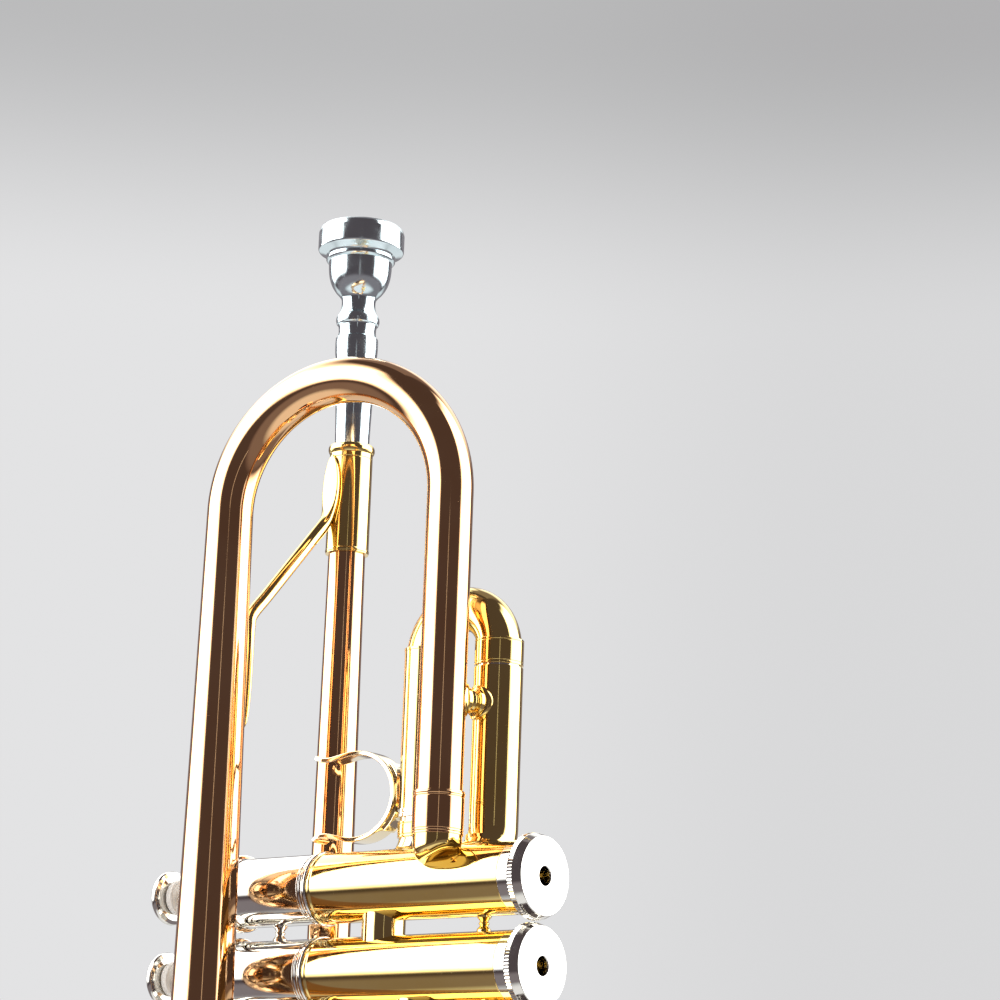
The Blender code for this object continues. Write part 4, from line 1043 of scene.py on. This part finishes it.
def make_third_slide_stop():
    """Stop rod with its knurled nuts on the moving slide, and the fixed lug."""
    body = "third_slide"
    x, y = THIRD_XS[0], middle("stop_lug").y
    rod_r = 0.9
    nut_z = high("stop_rod").z - 3
    slide_y = VALVES[2].y
    points = [vec(x, slide_y - 6.6, THIRD_END_Z - 9), vec(x, slide_y - 8.2, THIRD_END_Z - 8.8),
              vec(x, y + 0.6, THIRD_END_Z - 8), vec(x, y, THIRD_END_Z - 6.2), vec(x, y, THIRD_END_Z),
              vec(x, y, THIRD_END_Z + 15), vec(x, y, nut_z + 2.8)]
    sizes = [(3.4, 3.4, 1.0), (2.4, 2.4, 1.0)] + [(2 * rod_r, 2 * rod_r, 1.0)] * 5
    bar("stop_rod_shaft", points, sizes, X, NICKEL, body, ["stop_rod"], 5, 20)
    nuts = mirrored([(0, rod_r - 0.1), (0, 2.1), (0.3, 2.3), (1.2, 2.3), (1.3, 1.9)], 2.9)
    turned("stop_nuts", nuts, vec(x, y, nut_z), Z, NICKEL, body, sides=96, ease=0.06,
           knurl=(0.2, 2.7, 24, 0.18, 2.25))
    lug_z = low("stop_lug").z
    turned("stop_lug_eye", marked(2, 2.4, rod_r + 0.3), vec(x, y, lug_z), Z, NICKEL,
           nodes=["stop_lug"], sides=48)
    web = [vec(x, side_y, lug_z + 1) for side_y in
           (y + 1.8, slide_y - SLEEVE_R - 0.6, slide_y - SLEEVE_R + 0.4)]
    bar("stop_lug_web", web, [(1.6, 1.8, 0.5), (1.8, 2.6, 0.5), (3, 4.6, 0.5)], X, NICKEL, steps=5)


# ---- Tuning slide ----
TUNING_R, TUNING_BORE_R = 6.9, 6.35
TUNING_LEG_R = TUNING_BORE_R - 0.05
TUNING_LOWER = on_axis("tuning_lower_tube", 0)
TUNING_AXES = list(zip(LABELS, (LEAD, TUNING_LOWER)))
TUNING_TURN_R = (TUNING_LOWER.x - LEAD.x) / 2
TUNING_CENTRE = vec(LEAD.x + TUNING_TURN_R, LEAD.y,
                    low("tuning_slide_bow").z + TUNING_TURN_R + TUNING_LEG_R)


def make_tuning_tubes():
    """Fixed outer tubes, ferrules, the elbow into the third casing and a brace."""
    bottom, top = low("tuning_upper_tube").z, high("tuning_upper_tube").z
    for label, axis in TUNING_AXES:
        tube(f"tuning_{label}_sleeve", line(axis + Z * bottom, axis + Z * top, 8), TUNING_R,
             TUNING_BORE_R, nodes=[f"tuning_{label}_tube"], sides=72)
        turned(f"tuning_{label}_ring", marked(3, TUNING_R + 0.4, TUNING_R - 0.1,
                                              [(0.9, -0.12, 0.2), (2.1, -0.12, 0.2)]),
               axis + Z * (bottom + 0.1), Z, NICKEL)
    joint = [(0, TUNING_R), (0, 7.4), (0.3, 7.7), (1, 7.7), (1.2, 7.55), (1.6, 7.55), (1.8, 7.7),
             (6.8, 7.7), (7.6, 7.5), (8.2, 6.9), (8.4, 6.9), (8.8, 7.1), (9.8, 7.1), (10, 6.8),
             (10, 6.2), (4.2, 6.2), (4.2, TUNING_R)]
    for part, axis in (("leadpipe", LEAD), ("tuning", TUNING_LOWER)):
        turned(f"{part}_joint", joint, axis + Z * low(f"{part}_ferrule").z, Z,
               nodes=[f"{part}_ferrule"], sides=96)
    bend_r, elbow_r = 8.5, 6.2
    centre = TUNING_LOWER + vec(0, -bend_r, VALVES[2].z - bend_r)
    path = line(TUNING_LOWER + Z * (top + 0.6), TUNING_LOWER + Z * centre.z, 8)[:-1]
    path += arc(centre, Y * bend_r, Z * bend_r, 0, 80, 18)
    soldered("tuning_elbow", path, elbow_r, elbow_r - WALL, 2, ["tuning_knuckle"])
    make_cross_brace("tuning_tube_brace", LEAD + vec(TUNING_R, 0, bottom + 48),
                     TUNING_LOWER + vec(-TUNING_R, 0, bottom + 48))


def make_tuning_slide():
    """Inner legs, ferrules and the round bow, with the brace between its legs."""
    body = "tuning_slide"
    bore, gap = 5.8, 6.8
    bottom, top = low("tuning_upper_tube").z, high("tuning_upper_tube").z
    seat = bottom - 0.3
    crook = arc(TUNING_CENTRE, -X * TUNING_TURN_R, -Z * TUNING_TURN_R, 0, 180, 56)
    rise = Z * (seat - TUNING_CENTRE.z)
    path = [crook[0] + rise, crook[0] + Z * 5, *crook, crook[-1] + Z * 5, crook[-1] + rise]
    tube("tuning_slide_crook", path, TUNING_LEG_R - 0.05, bore, "gold_brass", body,
         ["tuning_slide_bow"], 72)
    for label, axis in TUNING_AXES:
        make_ferrule(f"tuning_slide_{label}_ferrule", axis + Z * (seat - 8.4), Z, 8.4, 6.9,
                     body, TUNING_LEG_R - 0.1, [(0.7, 0.14, 0.4), (1.8, -0.1, 0.2), (7.4, -0.1, 0.2)])
        make_leg(f"tuning_slide_{label}_leg", axis + Z * (seat + 0.1), axis + Z * (top - 10),
                 6, body, TUNING_LEG_R, bore)
    height = middle("tuning_slide_brace").z
    make_cross_brace("tuning_slide_post", LEAD + vec(gap, 0, height),
                     vec(TUNING_LOWER.x - gap, LEAD.y, height), body, ["tuning_slide_brace"])


def make_water_key():
    """Nipple, cork, sprung lever, its two pivot posts and the pin."""
    body = "water_key"
    turn = math.radians(24)
    outward = vec(math.cos(turn), 0, -math.sin(turn))
    along = vec(outward.z, 0, -outward.x)
    surface = TUNING_CENTRE + outward * (TUNING_TURN_R + TUNING_LEG_R - 0.1)
    pad = surface + outward * 2.7
    back = pad + outward * 2.6
    pivot = vec(TUNING_LOWER.x + 11.3, LEAD.y, TUNING_CENTRE.z + 5)
    spout = [(0, 1.1), (0, 3.6), (0.4, 3.2), (0.8, 2.6), (1.8, 2.4), (2.4, 2.2), (2.4, 1.1)]
    cup = [(0.6, 2.2), (0.6, 2.7), (1.9, 2.7), (2.6, 2), (2.6, 0), (1.8, 0), (1.8, 2.2)]
    turned("water_key_spout", spout, surface, outward, BRASS, "tuning_slide", ["water_key_nipple"], 48, 0.1)
    turned("water_key_pad", [(0, 0), (0, 2.1), (1.8, 2.1), (1.8, 0)], pad, outward, "cork", body,
           ["water_key_cork"], 40, 0.3)
    turned("water_key_cup", cup, pad, outward, NICKEL, body, sides=48)
    points = [back + along * 1.8, back - along, back.lerp(pivot, 0.45) + outward * 0.4,
              *(pivot + vec(x, 0, z) for x, z in ((0, -3), (0, 3), (1.8, 11), (4.6, 18), (5.6, 21.6)))]
    sizes = [(4, 1, 0.5), (4.4, 1.2, 0.5), (3, 1.4, 0.6), (2.8, 2, 0.7), (3, 1.8, 0.7), (4, 1.2, 0.5),
             (5.6, 1.1, 0.45), (4.4, 0.9, 0.45)]
    bar("water_key_arm", points, sizes, Y, NICKEL, body, ["water_key_lever"])
    turned("water_key_barrel", [(0, 0.8), (0, 1.6), (3.2, 1.6), (3.2, 0.8)], pivot - Y * 1.6,
           Y, NICKEL, body, sides=40)
    pin = [(0, 0), (0, 1.4), (0.6, 1.4), (0.7, 0.75), (6.6, 0.75), (6.6, 0)]
    turned("water_key_pin", pin, pivot - Y * 3.4, Y, "steel", "tuning_slide", sides=28, ease=0.06)
    for label, side in (("near", -2.3), ("far", 2.3)):
        points = [vec(x, pivot.y + side, pivot.z + rise) for x, rise in (
            (TUNING_LOWER.x + TUNING_LEG_R * 0.8, -0.2), (TUNING_LOWER.x + TUNING_LEG_R + 1.2, 0),
            (pivot.x - 0.4, 0), (pivot.x + 1.6, 0))]
        bar(f"water_key_post_{label}", points, [(0.9, 5.6, 0.5), (0.9, 4.4, 0.5), (0.9, 3.6, 0.6),
                                                (0.9, 2, 0.8)], Y, NICKEL, "tuning_slide", steps=5)


# ---- Braces ----
def make_post_brace():
    """Flange, ball and flange between the bell's tail and the first slide's tube."""
    height = middle("bell_post_brace").z
    start = TAIL + Z * height
    end = vec(FIRST_LOWER.x, FIRST_Y, height)
    direction = (end - start).normalized()
    flange = flange_profile(4.8, 0.9)
    collar("post_brace_bell_flange", start + direction * (TAIL_R + 3), -direction,
           onto(TAIL, Z, TAIL_R), flange, ["bell_post_brace"])
    collar("post_brace_slide_flange", end - direction * (SLEEVE_R + 3), direction,
           onto(end, Z, SLEEVE_R), flange)
    first, last = TAIL_R - 0.2, (end - start).length - SLEEVE_R + 0.2
    centre = (first + last) / 2
    half = [(first, 0), (first, 4), (first + 1.2, 4), (centre - 0.8, 2.8), (centre - 0.6, 3.1)]
    turned("post_brace_stem", mirrored(half, first + last, (centre, 3.4)), start, direction, sides=64)


def make_rear_brace():
    """Slanted rod from the receiver to the bell's stem: leaf foot above, long toe below."""
    towards = (STEM - LEAD).normalized()
    rod, upper_z, lower_z = 1.9, 108.5, 77.5
    rod_size = (2 * rod, 2 * rod, 1.0)
    near = RECEIVER_R + rod + 0.7               # the rod's centre at its upper bend
    far = (STEM - LEAD).length - bell_radius(ZERO.z + 60) - rod - 0.2
    rows = [  # height above the first valve's axis, distance from the leadpipe, size
        (130, RECEIVER_R + 0.4, (0.8, 0.8, 0.7)), (128.6, RECEIVER_R + 0.5, (3.4, 1, 0.5)),
        (125, RECEIVER_R + 0.5, (6, 1.2, 0.4)), (120, RECEIVER_R + 0.6, (7.2, 1.3, 0.4)),
        (115.5, RECEIVER_R + 0.8, (6.4, 1.6, 0.5)), (111.8, RECEIVER_R + 1.3, (4.8, 2.6, 0.8)),
        *((upper_z + (lower_z - upper_z) * share, near + (far - near) * share, rod_size)
          for share in (0, 0.2, 0.4, 0.6, 0.8, 1.0)),
        (73.8, far + 0.6, (4, 3.4, 0.9)), (69, far + 0.8, (4.6, 2.9, 0.8)),
        (61, far + 0.9, (4.8, 2.6, 0.7)), (53, far + 0.9, (4.4, 2.4, 0.7)),
        (47, far + 1, (3.4, 2, 0.8)), (44.2, far + 1.4, (1.4, 1.1, 0.9)),
    ]
    points = [LEAD + Z * (ZERO.z + height) + towards * distance for height, distance, size in rows]
    bar("rear_brace_rod", points, [row[2] for row in rows], Z.cross(towards),
        nodes=["rear_brace"], steps=7, sides=36)


def make_front_brace():
    """Straight brace between the leadpipe and the bell ahead of the valves."""
    height = middle("front_brace").z
    direction = (STEM - LEAD).normalized()
    start, end = LEAD + Z * height, STEM + Z * height
    bell_r = bell_radius(height)
    first, last = 6, (end - start).length - bell_r + 0.2
    centre = (first + last) / 2
    half = [(first, 0), (first, 3.2), (first + 1.2, 3.2), (first + 2, 2.2), (first + 4, 1.7),
            (centre - 2, 1.6), (centre - 1.2, 2.4)]
    turned("front_brace_rod", mirrored(half, first + last, (centre, 2.8)), start, direction,
           nodes=["front_brace"], sides=48)
    collar("front_brace_lead_foot", start + direction * 9, -direction, onto(LEAD, Z, 6.1),
           flange_profile(4.7, 0.8), across=Z, stretch=1.5)
    collar("front_brace_bell_foot", end - direction * (bell_r + 3), direction,
           onto(STEM, Z, bell_r - 0.05), flange_profile(5, 0.8), across=Z, stretch=1.5)


def make_pinky_hook():
    """Hook for the right hand's little finger on a leaf-shaped plate."""
    top = vec(LEAD.x - 6.1, LEAD.y, high("pinky_hook").z)
    plate = [top - vec(inward, 0, drop) for inward, drop in ((0.4, 0.4), (0.5, 3), (0.6, 9), (0.8, 14))]
    hook = arc(top - vec(11.1, 0, 17), X * 10, -Z * 9, 0, 168, 9)
    sizes = [(2.4, 0.9, 0.5), (6.4, 1.1, 0.45), (7.2, 1.2, 0.45), (6.6, 1.4, 0.5)]
    sizes += [(6 - 0.2 * index, 1.5, 0.55) for index in range(len(hook) - 1)]
    bar("pinky_hook_strip", plate + hook, sizes + [(3.6, 1.3, 0.6)], Y, nodes=["pinky_hook"],
        steps=5, sides=32)


# ---- Assembly ----
for make in (make_bell, make_bell_ferrule, make_bell_knuckle, make_leadpipe, make_receiver,
             make_mouthpiece):
    make()
for valve in range(3):
    for make in (make_casing, make_bottom_cap, make_top_cap, make_piston, make_spring, make_button):
        make(valve + 1, valve_axis(valve))
for make in (make_casing_joints, make_first_slide, make_thumb_saddle, make_second_slide,
             make_third_slide, make_finger_ring, make_third_slide_stop, make_tuning_tubes,
             make_tuning_slide, make_water_key, make_post_brace, make_rear_brace,
             make_front_brace, make_pinky_hook):
    make()

for node_name, cad_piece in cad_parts.items():
    if node_name.startswith("valve_guide"):
        cad_piece.data.materials.clear()
        cad_piece.data.materials.append(LOOKS["nylon"])


# ---- Studio, in metres ----
CAMERA_AT = vec(0.5444, -0.5952, 0.2440)
CAMERA_TURNS = (("Z", 38.39), ("X", 104.24), ("Z", 1.96))      # azimuth, tilt and roll in degrees
SUBJECT = at(0, 0, 60) * MM


def add_object(name, data):
    """A new object in the scene."""
    made = bpy.data.objects.new(name, data)
    bpy.context.scene.collection.objects.link(made)
    return made


def make_camera():
    """A long lens from below the bottom caps, looking up at the bell's bow."""
    data = bpy.data.cameras.new("camera")
    data.lens = 104.86
    data.sensor_width = 36.0
    data.clip_start = 0.01
    data.clip_end = 50.0
    camera = add_object("camera", data)
    place = Matrix.Translation(CAMERA_AT)
    for axis, degrees in CAMERA_TURNS:
        place = place @ Matrix.Rotation(math.radians(degrees), 4, axis)
    camera.matrix_world = place
    bpy.context.scene.camera = camera


def make_floor():
    """A plain pale floor, faintly uneven."""
    data = bmesh.new()
    bmesh.ops.create_circle(data, cap_ends=True, segments=128, radius=6.0)
    mesh = bpy.data.meshes.new("floor")
    data.to_mesh(mesh)
    data.free()
    material, n, shader, place = new_material("pale_floor")
    mottle = n.noise(place, 6.0, 5.0)
    n.feed(shader, {"Base Color": n.blend(mottle, (0.70, 0.70, 0.71), (0.76, 0.76, 0.765)),
                    "Roughness": n.band(mottle, 0.3, 0.7, 0.55, 0.75)})
    mesh.materials.append(material)
    floor = add_object("floor", mesh)
    floor.visible_glossy = False


BOX_LEVEL = 4.6             # brightness of the two tall softboxes
AHEAD_LEVEL = 0.085         # of the room on the camera's side
BEHIND_LEVEL = 0.26         # of the room behind the instrument
LOW_LEVEL = 0.24            # of what lies below the horizon
FLOOR_LEVEL = 0.95          # of what lies steeply below
PANELS = [  # bearing from and to, elevation from and to, softness, all in degrees; level
    (-128, -54, -6, 53, 6.0, BOX_LEVEL),
    (56, 122, -12, 62, 6.0, BOX_LEVEL),
    (-178, -60, 26, 58, 7.0, 2.4),
    (60, 178, 26, 52, 7.0, 1.6),
    (-1.2, 0.6, -20, 14, 0.8, 0.9),
    (-200, -132, -50, -5, 6.0, 0.80),
    (132, 200, -50, -5, 6.0, 0.80),
]


def make_world():
    """A dim room with bright panels, and a pale backdrop that only the camera sees."""
    world = bpy.data.worlds.new("studio")
    bpy.context.scene.world = world
    n = Nodes(world)
    x, y, z = n.add("SeparateXYZ", {"Vector": n.add("TexCoord", {}).outputs["Generated"]}).outputs
    ahead = (CAMERA_AT - SUBJECT) * vec(1, 1, 0)
    ahead.normalize()
    right = Z.cross(ahead)

    def along(direction):
        return n.plus(n.times(x, direction.x), n.times(y, direction.y))

    bearing = n.times(n.maths("ARCTAN2", along(right), along(ahead)), math.degrees(1))
    rise = n.times(n.maths("ARCSINE", z), math.degrees(1))
    level = n.smooth(n.maths("ABSOLUTE", bearing), 126, 150, AHEAD_LEVEL, BEHIND_LEVEL)
    for first, last, bottom, top, soft, strength in PANELS:
        panel = n.times(n.window(bearing, first, last, soft), n.window(rise, bottom, top, soft * 1.3))
        level = n.larger(level, n.times(panel, strength))
    for start, end, strength in ((-10, -26, LOW_LEVEL), (-36, -58, FLOOR_LEVEL)):
        level = n.larger(level, n.times(n.smooth(rise, start, end), strength))
    backdrop = n.times(n.smooth(z, 0.30, 0.40, 0.775, 0.50),
                       n.smooth(along(right), 0.0, 0.16, 1.0, 0.90))
    seen = n.add("LightPath", {}).outputs["Is Camera Ray"]
    chosen = n.add("Mix", {0: seen, 2: level, 3: backdrop}).outputs[0]
    colour = n.blend(n.smooth(chosen, 0.08, 0.5), (1.0, 0.80, 0.88), (0.99, 0.99, 1.0))
    n.feed(n.tree.nodes["Background"], {"Strength": chosen, "Color": colour})


def make_overhead():
    """A big soft panel above, for the floor and the matt parts."""
    data = bpy.data.lights.new("overhead", "AREA")
    data.shape = "RECTANGLE"
    data.size, data.size_y = 1.6, 1.2
    data.energy = 9.0
    light = add_object("overhead", data)
    light.location = SUBJECT + vec(0.2, -0.2, 1.9)
    light.visible_camera = False
    light.visible_glossy = False


make_camera()
make_floor()
make_world()
make_overhead()
bpy.context.scene.view_settings.view_transform = "Standard"
